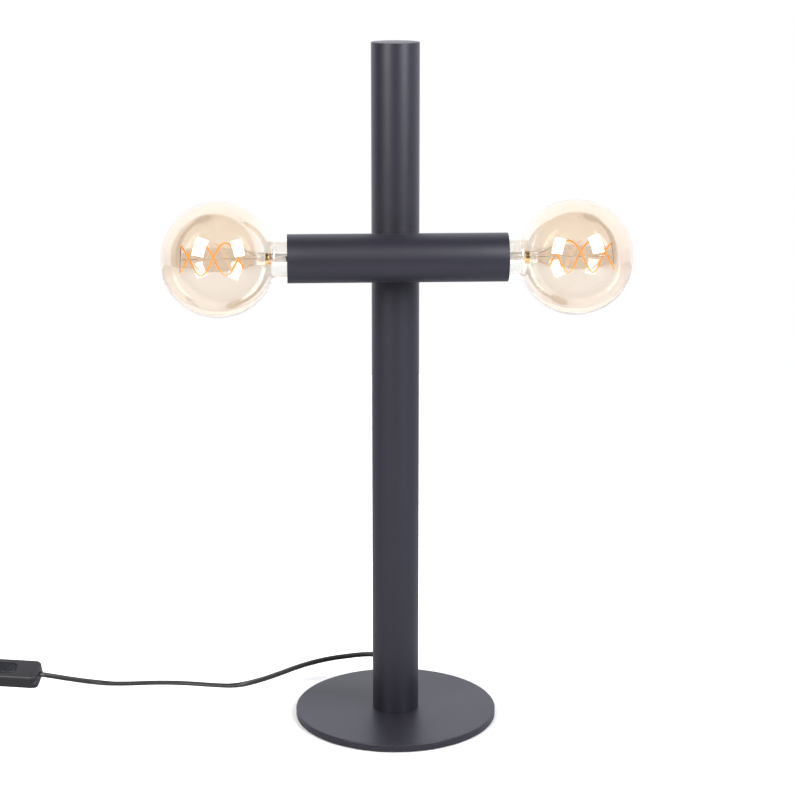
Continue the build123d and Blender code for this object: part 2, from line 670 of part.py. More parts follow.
def switch_form(inset):
    """The switch's outer form, taken inward by inset, in its own frame."""
    w, low, high = SWITCH_WIDTH / 2 - inset, inset, SWITCH_HEIGHT - inset
    bevel, side = SWITCH_BEVEL, SWITCH_BEVEL_HEIGHT + inset / 2
    section = Polyline((-w + bevel, low), (w - bevel, low), (w, side), (w, high), (-w, high), (-w, side),
                       close=True)
    bar = extrude(Plane.YZ * make_face(section), SWITCH_HALF - inset, both=True)
    plan = extrude(RectangleRounded(SWITCH_LENGTH - 2 * inset, 2 * w, SWITCH_CORNER_R - inset), SWITCH_HEIGHT)
    return bar & plan


def switch_halves():
    outer = switch_form(0.0)
    outer = fillet(outer.edges().group_by(Axis.Z)[-1], SWITCH_EDGE_R)
    bosses = [Pos(s * SWITCH_SCREW_X, 0, 0) * Cylinder(
        SWITCH_BOSS_D / 2, SWITCH_HEIGHT, align=(Align.CENTER, Align.CENTER, Align.MIN)) for s in (-1, 1)]
    hollow = switch_form(SWITCH_WALL) - bosses
    slot = Pos(0, 0, SWITCH_SPLIT) * Rot(0, 90, 0) * extrude(
        cord_section(Plane.XY, CORD_HOLE_CLEARANCE), SWITCH_LENGTH, both=True)
    body = outer - hollow - (slot - bosses)
    cut = Pos(0, 0, SWITCH_SPLIT) * Box(2 * SWITCH_LENGTH, 2 * SWITCH_WIDTH, SWITCH_HEIGHT,
                                        align=(Align.CENTER, Align.CENTER, Align.MIN))
    return body - cut, body & cut


def screw_holes(diameter, low, high):
    holes = [Pos(s * SWITCH_SCREW_X, 0, low) * Cylinder(
        diameter / 2, high - low, align=(Align.CENTER, Align.CENTER, Align.MIN)) for s in (-1, 1)]
    return Compound(children=holes)


def rocker_plan(grow):
    """Eight-sided outline of the rocker, or of its window when grown."""
    x, y = ROCKER_LENGTH / 2 + grow, ROCKER_WIDTH / 2 + grow
    c = ROCKER_CORNER
    return make_face(Polyline((x - c, -y), (x, -y + c), (x, y - c), (x - c, y), (-x + c, y), (-x, y - c),
                              (-x, -y + c), (-x + c, -y), close=True))


def switch_base():
    low, _ = switch_halves()
    low -= screw_holes(SWITCH_SCREW_D + 2 * HOLE_CLEARANCE, 0, SWITCH_SPLIT)
    low -= screw_holes(SWITCH_SCREW_HEAD_D + 2 * SINK_CLEARANCE, 0, SWITCH_SCREW_HEAD_T + 2 * SINK_CLEARANCE)
    return switch_frame() * low


def switch_cover():
    _, high = switch_halves()
    window = Pos(0, 0, SWITCH_SPLIT) * extrude(rocker_plan(ROCKER_GAP), SWITCH_HEIGHT)
    high -= window
    cheek_y = ROCKER_WIDTH / 2 + ROCKER_GAP + CHEEK_T / 2
    for side in (-1, 1):
        high += Pos(0, side * cheek_y, SWITCH_HEIGHT - SWITCH_WALL - CHEEK_DROP / 2 + CHEEK_ROOT) * Box(
            CHEEK_LENGTH, CHEEK_T, CHEEK_DROP)
    high -= Pos(0, 0, PIVOT_Z) * to_y(Cylinder(PIVOT_PIN_D / 2 + THREAD_CLEARANCE, 2 * (cheek_y + CHEEK_T / 2)))
    high -= screw_holes(SWITCH_SCREW_D, SWITCH_SPLIT, SWITCH_HEIGHT - SWITCH_WALL)
    return switch_frame() * high


def rocker_pose():
    """The rocker at rest, with its end towards the lamp pressed in."""
    return switch_frame() * Pos(0, 0, PIVOT_Z) * Rot(0, ROCKER_THROW, 0) * Pos(0, 0, -PIVOT_Z)


def switch_rocker():
    """Eight-sided rocker with a dished top, bored for its pin."""
    half, rise = ROCKER_LENGTH / 2, ROCKER_LENGTH / 2 * math.tan(math.radians(ROCKER_THROW))
    top, low = SWITCH_HEIGHT + ROCKER_PROUD, SWITCH_HEIGHT - ROCKER_DEPTH
    sides = Polyline((-half, top + rise), (-half, low + rise), (0, low), (half, low + rise), (half, top + rise))
    dish = ThreePointArc((half, top + rise), (0, top), (-half, top + rise))
    block = extrude(Plane.XZ * make_face([sides, dish]), ROCKER_WIDTH / 2, both=True)
    block &= extrude(rocker_plan(0.0), 2 * SWITCH_HEIGHT)
    block = chamfer(block.faces().sort_by(Axis.Z)[-1].edges(), ROCKER_EDGE)
    block -= Pos(0, 0, PIVOT_Z) * to_y(Cylinder(PIVOT_PIN_D / 2 + PIVOT_RUNNING, 2 * ROCKER_WIDTH))
    return rocker_pose() * block


def rocker_pin():
    reach = ROCKER_WIDTH / 2 + ROCKER_GAP + CHEEK_T
    return switch_frame() * Pos(0, 0, PIVOT_Z) * to_y(Cylinder(PIVOT_PIN_D / 2, 2 * reach))


def rocker_bridge():
    """Moving contact under the rocker."""
    length, width, thick = BRIDGE_SIZE
    low = SWITCH_HEIGHT - ROCKER_DEPTH
    rise = length / 2 * math.tan(math.radians(ROCKER_THROW))
    half, high = length / 2, low + rise
    outline = Polyline((-half, high), (0, low), (half, high),
                       (half, high - thick), (0, low - thick), (-half, high - thick), close=True)
    plate = extrude(Plane.XZ * make_face(outline), width / 2, both=True)
    return rocker_pose() * Pos(0, 0, -BUTT_CLEARANCE) * plate


def switch_contacts():
    """Two bent strips on the floor of the switch, one towards each cord end."""
    floor = SWITCH_WALL + BUTT_CLEARANCE
    top = SWITCH_SPLIT - CORD_THICK
    strips = []
    on_foot = (Align.CENTER, Align.CENTER, Align.MIN)
    for side in (-1, 1):
        foot = Box(FIXED_CONTACT_W, FIXED_CONTACT_W, FIXED_CONTACT_T, align=on_foot)
        post = Pos(-side * (FIXED_CONTACT_W - FIXED_CONTACT_T) / 2, 0, 0) * Box(
            FIXED_CONTACT_T, FIXED_CONTACT_W, top - floor, align=on_foot)
        strips.append((Pos(side * FIXED_CONTACT_X, 0, floor) * (foot + post)).solid())
    return switch_frame() * Compound(children=strips)


def switch_screws():
    head = SWITCH_SCREW_HEAD_T
    top = SWITCH_HEIGHT - SWITCH_WALL - SINK_CLEARANCE
    screw = turned([(0, SINK_CLEARANCE), (SWITCH_SCREW_HEAD_D / 2, SINK_CLEARANCE),
                    (SWITCH_SCREW_HEAD_D / 2, SINK_CLEARANCE + head),
                    (SWITCH_SCREW_D / 2 - THREAD_CLEARANCE, SINK_CLEARANCE + head),
                    (SWITCH_SCREW_D / 2 - THREAD_CLEARANCE, top), (0, top)])
    screws = [(Pos(s * SWITCH_SCREW_X, 0, 0) * screw).solid() for s in (-1, 1)]
    return switch_frame() * Compound(children=screws)


def switch_end(side):
    """Middle of the cord's slot in one end of the switch, and the way out of it."""
    frame = switch_frame()
    face = (frame * Pos(side * (SWITCH_HALF + BUTT_CLEARANCE), 0, SWITCH_SPLIT)).position
    further = (frame * Pos(side * (SWITCH_HALF + 1 + BUTT_CLEARANCE), 0, SWITCH_SPLIT)).position
    return face, (further - face).normalized()


def tube_along(points, name):
    """Cord along straight runs joined by arcs."""
    radii = corner_radii(points)
    path = FilletPolyline(*points, radius=radii)
    start = Vector(*points[0])
    way = (Vector(*points[1]) - start).normalized()
    side = way.cross(Vector(0, 0, 1)).normalized()
    cord = sweep(cord_section(Plane(start, x_dir=side, z_dir=way)), path, binormal=Pos(0, 0, GUIDE) * path)
    area = cord_section(Plane.XY).area
    print(name, "radii", [round(r) for r in radii], "length", round(path.length, 1),
          "volume over section times length", round(cord.volume / (area * path.length), 4))
    return cord


def cord_to_switch():
    face, way = switch_end(1)
    last = face + way * SWITCH_RUN
    points = [(0, RELIEF_TIP_Y + BUTT_CLEARANCE, RELIEF_HEIGHT), *ROUTE_TO_SWITCH, tuple(last), tuple(face)]
    return tube_along(points, "cord_to_switch")


def coil_frame():
    """Centre of the coil and the angle at which the cord joins its outer turn."""
    face, way = switch_end(-1)
    angle = math.atan2(-way.X, way.Y)
    join = face + way * SWITCH_TO_COIL
    centre = Vector(join.X - COIL_OUTER_R * math.cos(angle), join.Y - COIL_OUTER_R * math.sin(angle), 0)
    return centre, angle


def cord_from_switch():
    face, way = switch_end(-1)
    reach = SWITCH_TO_COIL - COIL_END_RUN - BUTT_CLEARANCE
    points = [face]
    for share, height in DROP_TO_COIL + [(1, COIL_LOW_Z)]:
        spot = face + way * reach * share
        points.append(Vector(spot.X, spot.Y, height))
    return tube_along([tuple(p) for p in points], "cord_from_switch")


def coil_length_in_turns():
    """Turns from the start of the coil to the end that faces the plug."""
    _, angle = coil_frame()
    aim = (COIL_END_ANGLE - math.degrees(angle)) / 360
    return aim + round(2 * COIL_TURNS_IN - aim)


def coil_point(turns):
    """Point of the coil after so many turns: in, then out again, up a layer where it turns back."""
    centre, start = coil_frame()
    angle = start + 2 * math.pi * turns
    climb = min(max((turns - COIL_TURNS_IN) / COIL_CLIMB + 0.5, 0), 1)
    r = COIL_INNER_R + COIL_PITCH * abs(turns - COIL_TURNS_IN)
    z = COIL_LOW_Z + COIL_LAYER * (1 - math.cos(math.pi * climb)) / 2
    return Vector(centre.X + r * math.cos(angle), centre.Y + r * math.sin(angle), z)


def coil_way(turns):
    """Direction of the coil there; level and square at its two ends."""
    nudge = 0.002
    if turns in (0, coil_length_in_turns()):
        centre, start = coil_frame()
        angle = start + 2 * math.pi * turns
        return Vector(-math.sin(angle), math.cos(angle), 0)
    return (coil_point(turns + nudge) - coil_point(turns - nudge)).normalized()


def cord_coil():
    turns = coil_length_in_turns()
    quarters = math.ceil(turns * 4)
    stops = [turns * i / quarters for i in range(quarters + 1)]
    spots, ways = [coil_point(stop) for stop in stops], [coil_way(stop) for stop in stops]
    start, way = spots[0] - ways[0] * COIL_END_RUN, ways[0]
    run_in = Edge.make_line(start, spots[0])
    run_out = Edge.make_line(spots[-1], spots[-1] + ways[-1] * COIL_END_RUN)
    path = Wire([run_in, *arcs_through(spots, ways), run_out])
    side = way.cross(Vector(0, 0, 1)).normalized()
    coil = sweep(cord_section(Plane(start, x_dir=side, z_dir=way)), path, binormal=Pos(0, 0, GUIDE) * path)
    area = cord_section(Plane.XY).area
    print("cord_coil turns", round(turns, 2), "length", round(path.length, 1),
          "volume over section times length", round(coil.volume / (area * path.length), 4),
          "least gap", round(coil_gap(turns), 2))
    return coil


def coil_gap(turns, samples_a_turn=72):
    """Least gap between turns, side by side in a layer or one layer over the other."""
    count = int(turns * samples_a_turn)
    spots = [coil_point(i / samples_a_turn) for i in range(count)]
    least = COIL_LAYER
    for i, a in enumerate(spots):
        for b in spots[i + samples_a_turn // 2:]:
            flat = math.hypot(a.X - b.X, a.Y - b.Y)
            rise = abs(a.Z - b.Z)
            if flat > CORD_WIDE + COIL_PITCH or rise > CORD_WIDE + COIL_LAYER:
                continue
            straight = (CORD_WIDE - CORD_THICK) / 2
            over = max(rise - 2 * straight, 0)
            least = min(least, math.hypot(flat, over) - CORD_THICK)
    return least


def tail_points():
    """From the end of the coil's top layer down to the middle of the plug."""
    turns = coil_length_in_turns()
    spot, way = coil_point(turns), coil_way(turns)
    start = spot + way * (COIL_END_RUN + BUTT_CLEARANCE)
    points = [start]
    for run, height in enumerate((COIL_TOP_Z, PLUG_T / 2, PLUG_T / 2), start=1):
        points.append(Vector(start.X + way.X * TAIL_RUN * run, start.Y + way.Y * TAIL_RUN * run, height))
    return points, way


def cord_tail():
    points, _ = tail_points()
    return tube_along([tuple(p) for p in points], "cord_tail")


def coil_tie():
    """Flat tie round the coil's turns, with its lock on the outside."""
    centre, _ = coil_frame()
    angle = math.radians(TIE_ANGLE)
    half_thick = CORD_THICK / 2 + TIE_SLACK
    bulge = TIE_WIDTH ** 2 / (8 * COIL_INNER_R)
    outer, inner = COIL_OUTER_R + half_thick, COIL_INNER_R - half_thick - bulge
    low = COIL_LIFT - TIE_SLACK / 2
    high = COIL_TOP_Z + CORD_WIDE / 2 + TIE_SLACK
    middle, wide, tall = (outer + inner) / 2, outer - inner, high - low
    band = Box(wide + 2 * TIE_T, TIE_WIDTH, tall + 2 * TIE_T) - Box(wide, TIE_WIDTH, tall)
    outer_edges = band.edges().filter_by(Axis.Y).sort_by(lambda e: -abs(e.center().X) - abs(e.center().Z))[:4]
    band = fillet(outer_edges, TIE_T)
    band += Pos(wide / 2 + TIE_T / 2 + TIE_HEAD / 2, 0, 0) * Box(TIE_HEAD, TIE_WIDTH, TIE_HEAD_TALL)
    place = Pos(centre.X, centre.Y, 0) * Rot(0, 0, math.degrees(angle)) * Pos(middle, 0, (low + high) / 2)
    return place * band


def plug_frame():
    """Middle of the plug's rear end, with +X towards the pins."""
    points, way = tail_points()
    end = points[-1] + way * BUTT_CLEARANCE
    return Pos(end.X, end.Y, end.Z) * Rot(0, 0, math.degrees(math.atan2(way.Y, way.X)))


def plug_body():
    neck, half = PLUG_NECK_W / 2, PLUG_WIDTH / 2
    right = [(0, neck), (PLUG_NECK_LENGTH, neck), (PLUG_SHOULDER, half), (PLUG_LENGTH - PLUG_CORNER, half),
             (PLUG_LENGTH, half - PLUG_CORNER)]
    outline = right + [(x, -y) for x, y in reversed(right)]
    plan = make_face(Polyline(*outline, close=True))
    waist = [v for v in plan.vertices() if 0 < v.X < PLUG_LENGTH - PLUG_CORNER - PRESS_CLEARANCE]
    plan = fillet(waist, PLUG_WAIST_R)
    body = extrude(plan, PLUG_T / 2, both=True)
    faces = body.faces().sort_by(Axis.Z)
    body = chamfer(faces[0].edges() + faces[-1].edges(), PLUG_EDGE)
    for side in (-1, 1):
        y = side * PIN_SPACING / 2
        start, stop = (PLUG_LENGTH - PIN_ROOT, y, 0), (PLUG_LENGTH + PIN_ROOT, y, 0)
        body -= rod(start, stop, PIN_SLEEVE_D + 2 * HOLE_CLEARANCE)
    return plug_frame() * body


def plug_pins():
    pins = []
    for side in (-1, 1):
        root, bare = PLUG_LENGTH - PIN_ROOT, PLUG_LENGTH + PIN_SLEEVE_LENGTH
        tip = PLUG_LENGTH + PIN_LENGTH
        r, neck, nose = PIN_D / 2, PIN_SLEEVE_D / 2 - PIN_SLEEVE_WALL, PIN_D / 4
        pin = turned([(0, root), (neck, root), (neck, bare), (r, bare),
                      (r, tip - nose), (r - nose, tip), (0, tip)])
        pins.append((Pos(0, side * PIN_SPACING / 2, 0) * Rot(0, 90, 0) * pin).solid())
    return plug_frame() * Compound(children=pins)


def plug_sleeves():
    sleeves = []
    for side in (-1, 1):
        bore_r = PIN_SLEEVE_D / 2 - PIN_SLEEVE_WALL + PRESS_CLEARANCE / 2
        sleeve = ring(PIN_SLEEVE_D / 2, bore_r, PLUG_LENGTH - PIN_ROOT,
                      PLUG_LENGTH + PIN_SLEEVE_LENGTH - BUTT_CLEARANCE)
        sleeves.append((Pos(0, side * PIN_SPACING / 2, 0) * Rot(0, 90, 0) * sleeve).solid())
    return plug_frame() * Compound(children=sleeves)


def build():
    pieces = {
        "base_plate": base_plate(), "base_pad": base_pad(), "base_bolt": base_bolt(), "post_foot": post_foot(),
        "post_tube": post_tube(), "post_cap": post_cap(), "strain_relief": strain_relief(),
        "relief_nut": relief_nut(), "post_lead": post_lead(), "arm_tube": arm_tube(),
        "saddle_spacer": saddle_spacer(), "joint_nipple": joint_nipple(), "joint_washers": joint_washers(),
        "joint_nuts": joint_nuts(), "terminal_block": terminal_block(),
        "cord_to_switch": cord_to_switch(), "switch_base": switch_base(), "switch_cover": switch_cover(),
        "switch_rocker": switch_rocker(), "rocker_pin": rocker_pin(), "rocker_bridge": rocker_bridge(),
        "switch_contacts": switch_contacts(), "switch_screws": switch_screws(),
        "cord_from_switch": cord_from_switch(), "cord_coil": cord_coil(), "coil_tie": coil_tie(),
        "cord_tail": cord_tail(), "plug_body": plug_body(), "plug_pins": plug_pins(),
        "plug_sleeves": plug_sleeves()}
    sided = {
        "holder_bracket": holder_bracket, "holder_cup": holder_cup, "holder_shell": holder_shell,
        "holder_contact": holder_contact, "holder_wires": holder_wires, "bulb_glass": bulb_glass,
        "bulb_cap": bulb_cap, "bulb_insulator": bulb_insulator, "bulb_contact": bulb_contact,
        "bulb_stem": bulb_stem, "bulb_leads": bulb_leads, "bulb_support": bulb_support,
        "bulb_filament": bulb_filament}
    for name, make in sided.items():
        pieces.update(both_sides(name, make()))
    for name, make in {"holder_nipples": holder_nipple, "holder_nuts": holder_nut}.items():
        pair = both_sides(name, make()).values()
        pieces[name] = Compound(children=[piece.solid() for piece in pair])
    return pieces


os.makedirs("parts", exist_ok=True)
for node, shape in build().items():
    export_step(shape, "parts/" + node + ".step")
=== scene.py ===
"""Table lamp: a round base, an upright tube, a cross tube with a globe bulb at each end, and a cord with a
rocker switch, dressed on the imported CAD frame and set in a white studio."""

import math

import bmesh
import bpy
from bpy.props import FloatProperty, FloatVectorProperty, PointerProperty
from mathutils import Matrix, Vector


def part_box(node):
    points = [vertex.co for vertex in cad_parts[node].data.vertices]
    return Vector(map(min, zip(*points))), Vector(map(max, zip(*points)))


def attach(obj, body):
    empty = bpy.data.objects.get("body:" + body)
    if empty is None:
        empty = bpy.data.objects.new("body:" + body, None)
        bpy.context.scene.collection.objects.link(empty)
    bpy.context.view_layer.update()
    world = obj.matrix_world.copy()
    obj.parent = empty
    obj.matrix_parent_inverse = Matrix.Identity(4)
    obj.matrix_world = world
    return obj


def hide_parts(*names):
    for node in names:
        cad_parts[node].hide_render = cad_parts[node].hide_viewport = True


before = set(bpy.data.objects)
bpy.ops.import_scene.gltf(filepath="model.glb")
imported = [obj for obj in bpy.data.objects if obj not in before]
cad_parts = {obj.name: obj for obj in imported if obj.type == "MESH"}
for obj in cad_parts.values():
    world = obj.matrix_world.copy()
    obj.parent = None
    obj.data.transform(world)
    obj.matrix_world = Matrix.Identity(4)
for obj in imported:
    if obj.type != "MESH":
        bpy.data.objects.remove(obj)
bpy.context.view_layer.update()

bl_info = {
    "name": "Twin globe table lamp",
    "version": (1, 0, 0),
    "blender": (4, 5, 0),
    "location": "3D View > Sidebar > Lamp",
    "description": "Builds a table lamp with two globe bulbs on its CAD frame, with cord, switch and studio",
    "category": "Object",
}

MM = 0.001

# Places that the frame gives
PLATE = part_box("base_plate")
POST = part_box("post_tube")
POST_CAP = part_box("post_cap")
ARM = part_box("arm_tube")
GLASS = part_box("right_bulb_glass")
SCREW_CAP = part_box("right_bulb_cap")
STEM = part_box("right_bulb_stem")
POST_R = (POST[1].x - POST[0].x) / 2
ARM_Y = (ARM[0].y + ARM[1].y) / 2
ARM_Z = (ARM[0].z + ARM[1].z) / 2
ARM_R = (ARM[1].z - ARM[0].z) / 2
BASE_R = (PLATE[1].x - PLATE[0].x) / 2
BALL_R = (GLASS[1].z - GLASS[0].z) / 2
BALL_AT = GLASS[1].x - BALL_R
CAP_RIM = SCREW_CAP[1].x
SIDES = {"right": 1, "left": -1}

# The cord's route from the strain relief to the switch, listed point by point
CORD_EXIT = (0.0, 0.03405, 0.0315)
ROUTE_TO_SWITCH = [
    (0.0, 0.0475, 0.0312), (-0.007, 0.06, 0.0305), (-0.02, 0.067, 0.0296), (-0.039, 0.0685, 0.0275),
    (-0.061, 0.0675, 0.0249), (-0.084, 0.066, 0.0195), (-0.106, 0.0648, 0.0114), (-0.126, 0.0638, 0.0054),
    (-0.143, 0.0638, 0.0025), (-0.165, 0.0676, 0.0025), (-0.19, 0.0736, 0.0025), (-0.216, 0.076, 0.0025),
    (-0.24, 0.0744, 0.0025), (-0.261, 0.074, 0.003), (-0.279, 0.0746, 0.0047), (-0.296, 0.076, 0.007)]
SWITCH_RIGHT_END = Vector((-0.321921, 0.07945, 0.010548))
SWITCH_LEFT_END = Vector((-0.384778, 0.09201, 0.010548))
SWITCH_WAY = (SWITCH_RIGHT_END - SWITCH_LEFT_END).normalized()
SWITCH_RUN = 0.012
SWITCH_SAG = 0.0013

# From the switch down to the floor, as shares of the way and heights, then round the coil and to the plug
DROP_TO_COIL = [(0.2, 0.0106), (0.4, 0.0084), (0.6, 0.005), (0.8, 0.0033), (1.0, 0.0033)]
SWITCH_TO_COIL = 0.054
COIL_RUN = 0.0046
COIL_OUTER_R = 0.033
COIL_PITCH = 0.0033
COIL_LAYER = 0.0051
COIL_LOW_Z = 0.0033
COIL_TURNS_IN = 4.25
COIL_CLIMB = 0.5
COIL_END_ANGLE = math.radians(250)
COIL_POINTS_A_TURN = 24
TAIL_RUN = 0.009
TAIL_HEIGHTS = (0.0084, 0.00685, 0.00685)
TO_PLUG_LENGTH = 1.47
CORD_TURNS_OVER = 0.03

# Share of the length to the switch, and the cord's turn from flat in degrees
CORD_TWIST = [(0.0, 90), (0.40, 90), (0.52, 20), (0.80, 20), (0.88, 80), (0.985, 75), (1.0, 30)]

# The switch: its two halves meet at the split, and it lies tipped over its long side
SWITCH_LENGTH = 64 * MM
SWITCH_WIDTH = 25 * MM
SWITCH_HEIGHT = 14.5 * MM
SWITCH_SPLIT = 8.7 * MM
SWITCH_TIP = math.radians(21)
SWITCH_SHELLS = {"switch_base": "switch_base_shell", "switch_cover": "switch_cover_shell"}

# Faces that turn by more degrees than this keep a sharp edge
CREASE = 35

# Where the photograph was taken from
PHOTO_CAMERA = Vector((-0.0765, -1.6588, 0.6973))
PHOTO_PAN = math.radians(-2.70)
PHOTO_TILT = math.radians(90 - 13.89)
PHOTO_LENS = 91.14
PHOTO_SENSOR = 36.0


class LampSizes(bpy.types.PropertyGroup):
    """Sizes of the dressed pieces."""

    tube_wall: FloatProperty(
        name="Tube wall", description="Wall of the upright and cross tubes", default=1.5 * MM, unit="LENGTH")
    tube_edge: FloatProperty(
        name="Tube edge", description="Rounding of the tube ends", default=0.4 * MM, unit="LENGTH")
    plate_edge: FloatProperty(
        name="Plate edge", description="Rounding of the base plate's rim", default=0.8 * MM, unit="LENGTH")
    switch_edge: FloatProperty(
        name="Switch edge", description="Rounding of the switch's edges", default=2.6 * MM, unit="LENGTH")
    switch_corner: FloatProperty(
        name="Switch corner", description="Rounding of the switch's corners", default=5.5 * MM, unit="LENGTH")
    glass_wall: FloatProperty(
        name="Glass wall", description="Wall of the bulb", default=1.0 * MM, unit="LENGTH")
    neck_radius: FloatProperty(
        name="Neck radius", description="Radius of the bulb's neck in the tube", default=18.0 * MM,
        unit="LENGTH")
    neck_fillet: FloatProperty(
        name="Neck fillet", description="Hollow between neck and ball", default=6.0 * MM, unit="LENGTH")
    thread_pitch: FloatProperty(
        name="Thread pitch", description="Pitch of the screw cap's thread", default=3.63 * MM,
        unit="LENGTH")
    thread_depth: FloatProperty(
        name="Thread depth", description="Depth of the screw cap's thread", default=1.0 * MM, unit="LENGTH")
    strand_width: FloatProperty(
        name="Strand width", description="Thickness of one filament strand", default=1.5 * MM, unit="LENGTH")
    strand_reach: FloatProperty(
        name="Strand reach", description="Radius of the filament's spiral", default=13.2 * MM, unit="LENGTH")
    strand_pitch: FloatProperty(
        name="Strand pitch", description="Length of one turn of the spiral", default=40.6 * MM, unit="LENGTH")
    cord_width: FloatProperty(
        name="Cord width", description="Wide side of the flat cord", default=4.6 * MM, unit="LENGTH")
    cord_thickness: FloatProperty(
        name="Cord thickness", description="Narrow side of the flat cord", default=2.8 * MM, unit="LENGTH")


class LampFinishes(bpy.types.PropertyGroup):
    """Colours and gloss of the dressed pieces, and the painted light on the filament."""

    coat_colour: FloatVectorProperty(
        name="Coat colour", description="Powder coat", subtype="COLOR", default=(0.0127, 0.0122, 0.0185))
    coat_roughness: FloatProperty(
        name="Coat roughness", description="Roughness of the powder coat", default=0.42, min=0.0, max=1.0)
    plastic_colour: FloatVectorProperty(
        name="Plastic colour", description="Switch, plug and small parts", subtype="COLOR",
        default=(0.020, 0.020, 0.023))
    rocker_colour: FloatVectorProperty(
        name="Rocker colour", description="Gloss rocker", subtype="COLOR", default=(0.006, 0.006, 0.010))
    cord_colour: FloatVectorProperty(
        name="Cord colour", description="Sheath of the cord", subtype="COLOR", default=(0.013, 0.013, 0.014))
    glass_tint: FloatVectorProperty(
        name="Glass tint", description="Amber of the bulb glass", subtype="COLOR",
        default=(0.948, 0.862, 0.762))
    # Painted light: the strands' emission colour and strength stand in for the studio light that the glass
    # keeps from them
    filament_painted_light_colour: FloatVectorProperty(
        name="Filament painted light colour", description="Warm phosphor of the strands", subtype="COLOR",
        default=(0.94, 0.42, 0.08))
    filament_painted_light: FloatProperty(
        name="Filament painted light", description="Brightness of the strands", default=0.82, min=0.0)


class LampStudio(bpy.types.PropertyGroup):
    """Light and floor of the studio."""

    softbox_power: FloatProperty(
        name="Softbox power", description="Power of the right softbox", default=43.0, unit="POWER")
    softbox_balance: FloatProperty(
        name="Softbox balance", description="Power of the left softbox as a share of the right",
        default=0.85, min=0.0)
    softbox_azimuth: FloatProperty(
        name="Softbox azimuth", description="Angle of each softbox from the front", default=math.radians(43),
        subtype="ANGLE")
    softbox_elevation: FloatProperty(
        name="Softbox elevation", description="Height angle of each softbox", default=math.radians(28.6),
        subtype="ANGLE")
    softbox_distance: FloatProperty(
        name="Softbox distance", description="From the lamp to each softbox", default=1.67, unit="LENGTH")
    softbox_width: FloatProperty(
        name="Softbox width", description="Width of each softbox", default=0.68, unit="LENGTH")
    softbox_height: FloatProperty(
        name="Softbox height", description="Height of each softbox", default=0.93, unit="LENGTH")
    backdrop_glow: FloatProperty(
        name="Backdrop glow", description="Brightness of the backdrop in the lamp's gloss", default=1.42,
        min=0.0)
    glass_glow: FloatProperty(
        name="Glass glow", description="Brightness of the backdrop through the glass", default=1.0, min=0.0)
    room_glow: FloatProperty(
        name="Room glow", description="Brightness of the room in front and above", default=0.06, min=0.0)
    floor_colour: FloatVectorProperty(
        name="Floor colour", description="Floor as it is seen", subtype="COLOR", default=(0.8, 0.8, 0.8))
    floor_bounce: FloatVectorProperty(
        name="Floor bounce", description="Floor in the lamp's gloss", subtype="COLOR",
        default=(0.46, 0.46, 0.50))
    floor_glow: FloatProperty(
        name="Floor glow", description="Brightness of the floor away from the lamp", default=0.7, min=0.0)


class Signal:
    """A number in a node tree, for use in Python sums."""

    def __init__(self, shader, socket):
        self.shader = shader
        self.socket = socket

    def __add__(self, other):
        return self.shader.number("ADD", self, other)

    def __sub__(self, other):
        return self.shader.number("SUBTRACT", self, other)

    def __mul__(self, other):
        return self.shader.number("MULTIPLY", self, other)

    def __rsub__(self, other):
        return self.shader.number("SUBTRACT", other, self)

    __radd__ = __add__
    __rmul__ = __mul__


class Shader:
    """Nodes of one material or of the world."""

    def __init__(self, tree):
        self.tree = tree
        tree.nodes.clear()

    def add(self, kind, settings=None, sockets=None):
        """Add a node, set it up, then give its sockets their values or links."""
        node = self.tree.nodes.new("ShaderNode" + kind)
        for name, value in (settings or {}).items():
            setattr(node, name, value)
        for name, value in (sockets or {}).items():
            if isinstance(value, Signal):
                value = value.socket
            if isinstance(value, bpy.types.NodeSocket):
                self.tree.links.new(value, node.inputs[name])
            else:
                node.inputs[name].default_value = value
        return node

    def number(self, operation, first, second):
        node = self.add("Math", {"operation": operation}, {0: first, 1: second})
        return Signal(self, node.outputs[0])

    def place(self):
        """Place on the piece, in metres."""
        return self.add("TexCoord").outputs["Object"]

    def noise(self, place, scale, detail=2.0):
        sockets = {"Vector": place, "Scale": scale, "Detail": detail}
        return Signal(self, self.add("TexNoise", None, sockets).outputs["Fac"])

    def stretched(self, place, scale):
        """The place multiplied along each axis."""
        return self.add("VectorMath", {"operation": "MULTIPLY"}, {0: place, 1: scale}).outputs[0]

    def part(self, vector, name):
        """One of a vector's three numbers."""
        return Signal(self, self.add("SeparateXYZ", None, {"Vector": vector}).outputs[name])

    def blend(self, factor, first, second):
        """Colour between two others."""
        node = self.add("Mix", {"data_type": "RGBA"}, {0: factor, 6: (*first, 1.0), 7: (*second, 1.0)})
        return node.outputs[2]

    def ease(self, value, low, high):
        """0 below low, 1 above high and smooth between."""
        sockets = {"Value": value, "From Min": low, "From Max": high}
        node = self.add("MapRange", {"interpolation_type": "SMOOTHSTEP"}, sockets)
        return Signal(self, node.outputs["Result"])

    def seen(self):
        """1 for what is seen directly or through glass, 0 for reflections and bounced light."""
        path = self.add("LightPath").outputs
        return self.number("MAXIMUM", path["Is Camera Ray"], path["Is Transmission Ray"])

    def bump(self, height, strength, distance):
        sockets = {"Height": height, "Strength": strength, "Distance": distance}
        return self.add("Bump", None, sockets).outputs["Normal"]

    def surface(self, sockets):
        """Principled surface on the material's output."""
        node = self.add("BsdfPrincipled", None, sockets)
        self.add("OutputMaterial", None, {"Surface": node.outputs[0]})


def scaled(colour, factor):
    """The colour made darker or lighter."""
    return tuple(part * factor for part in colour)


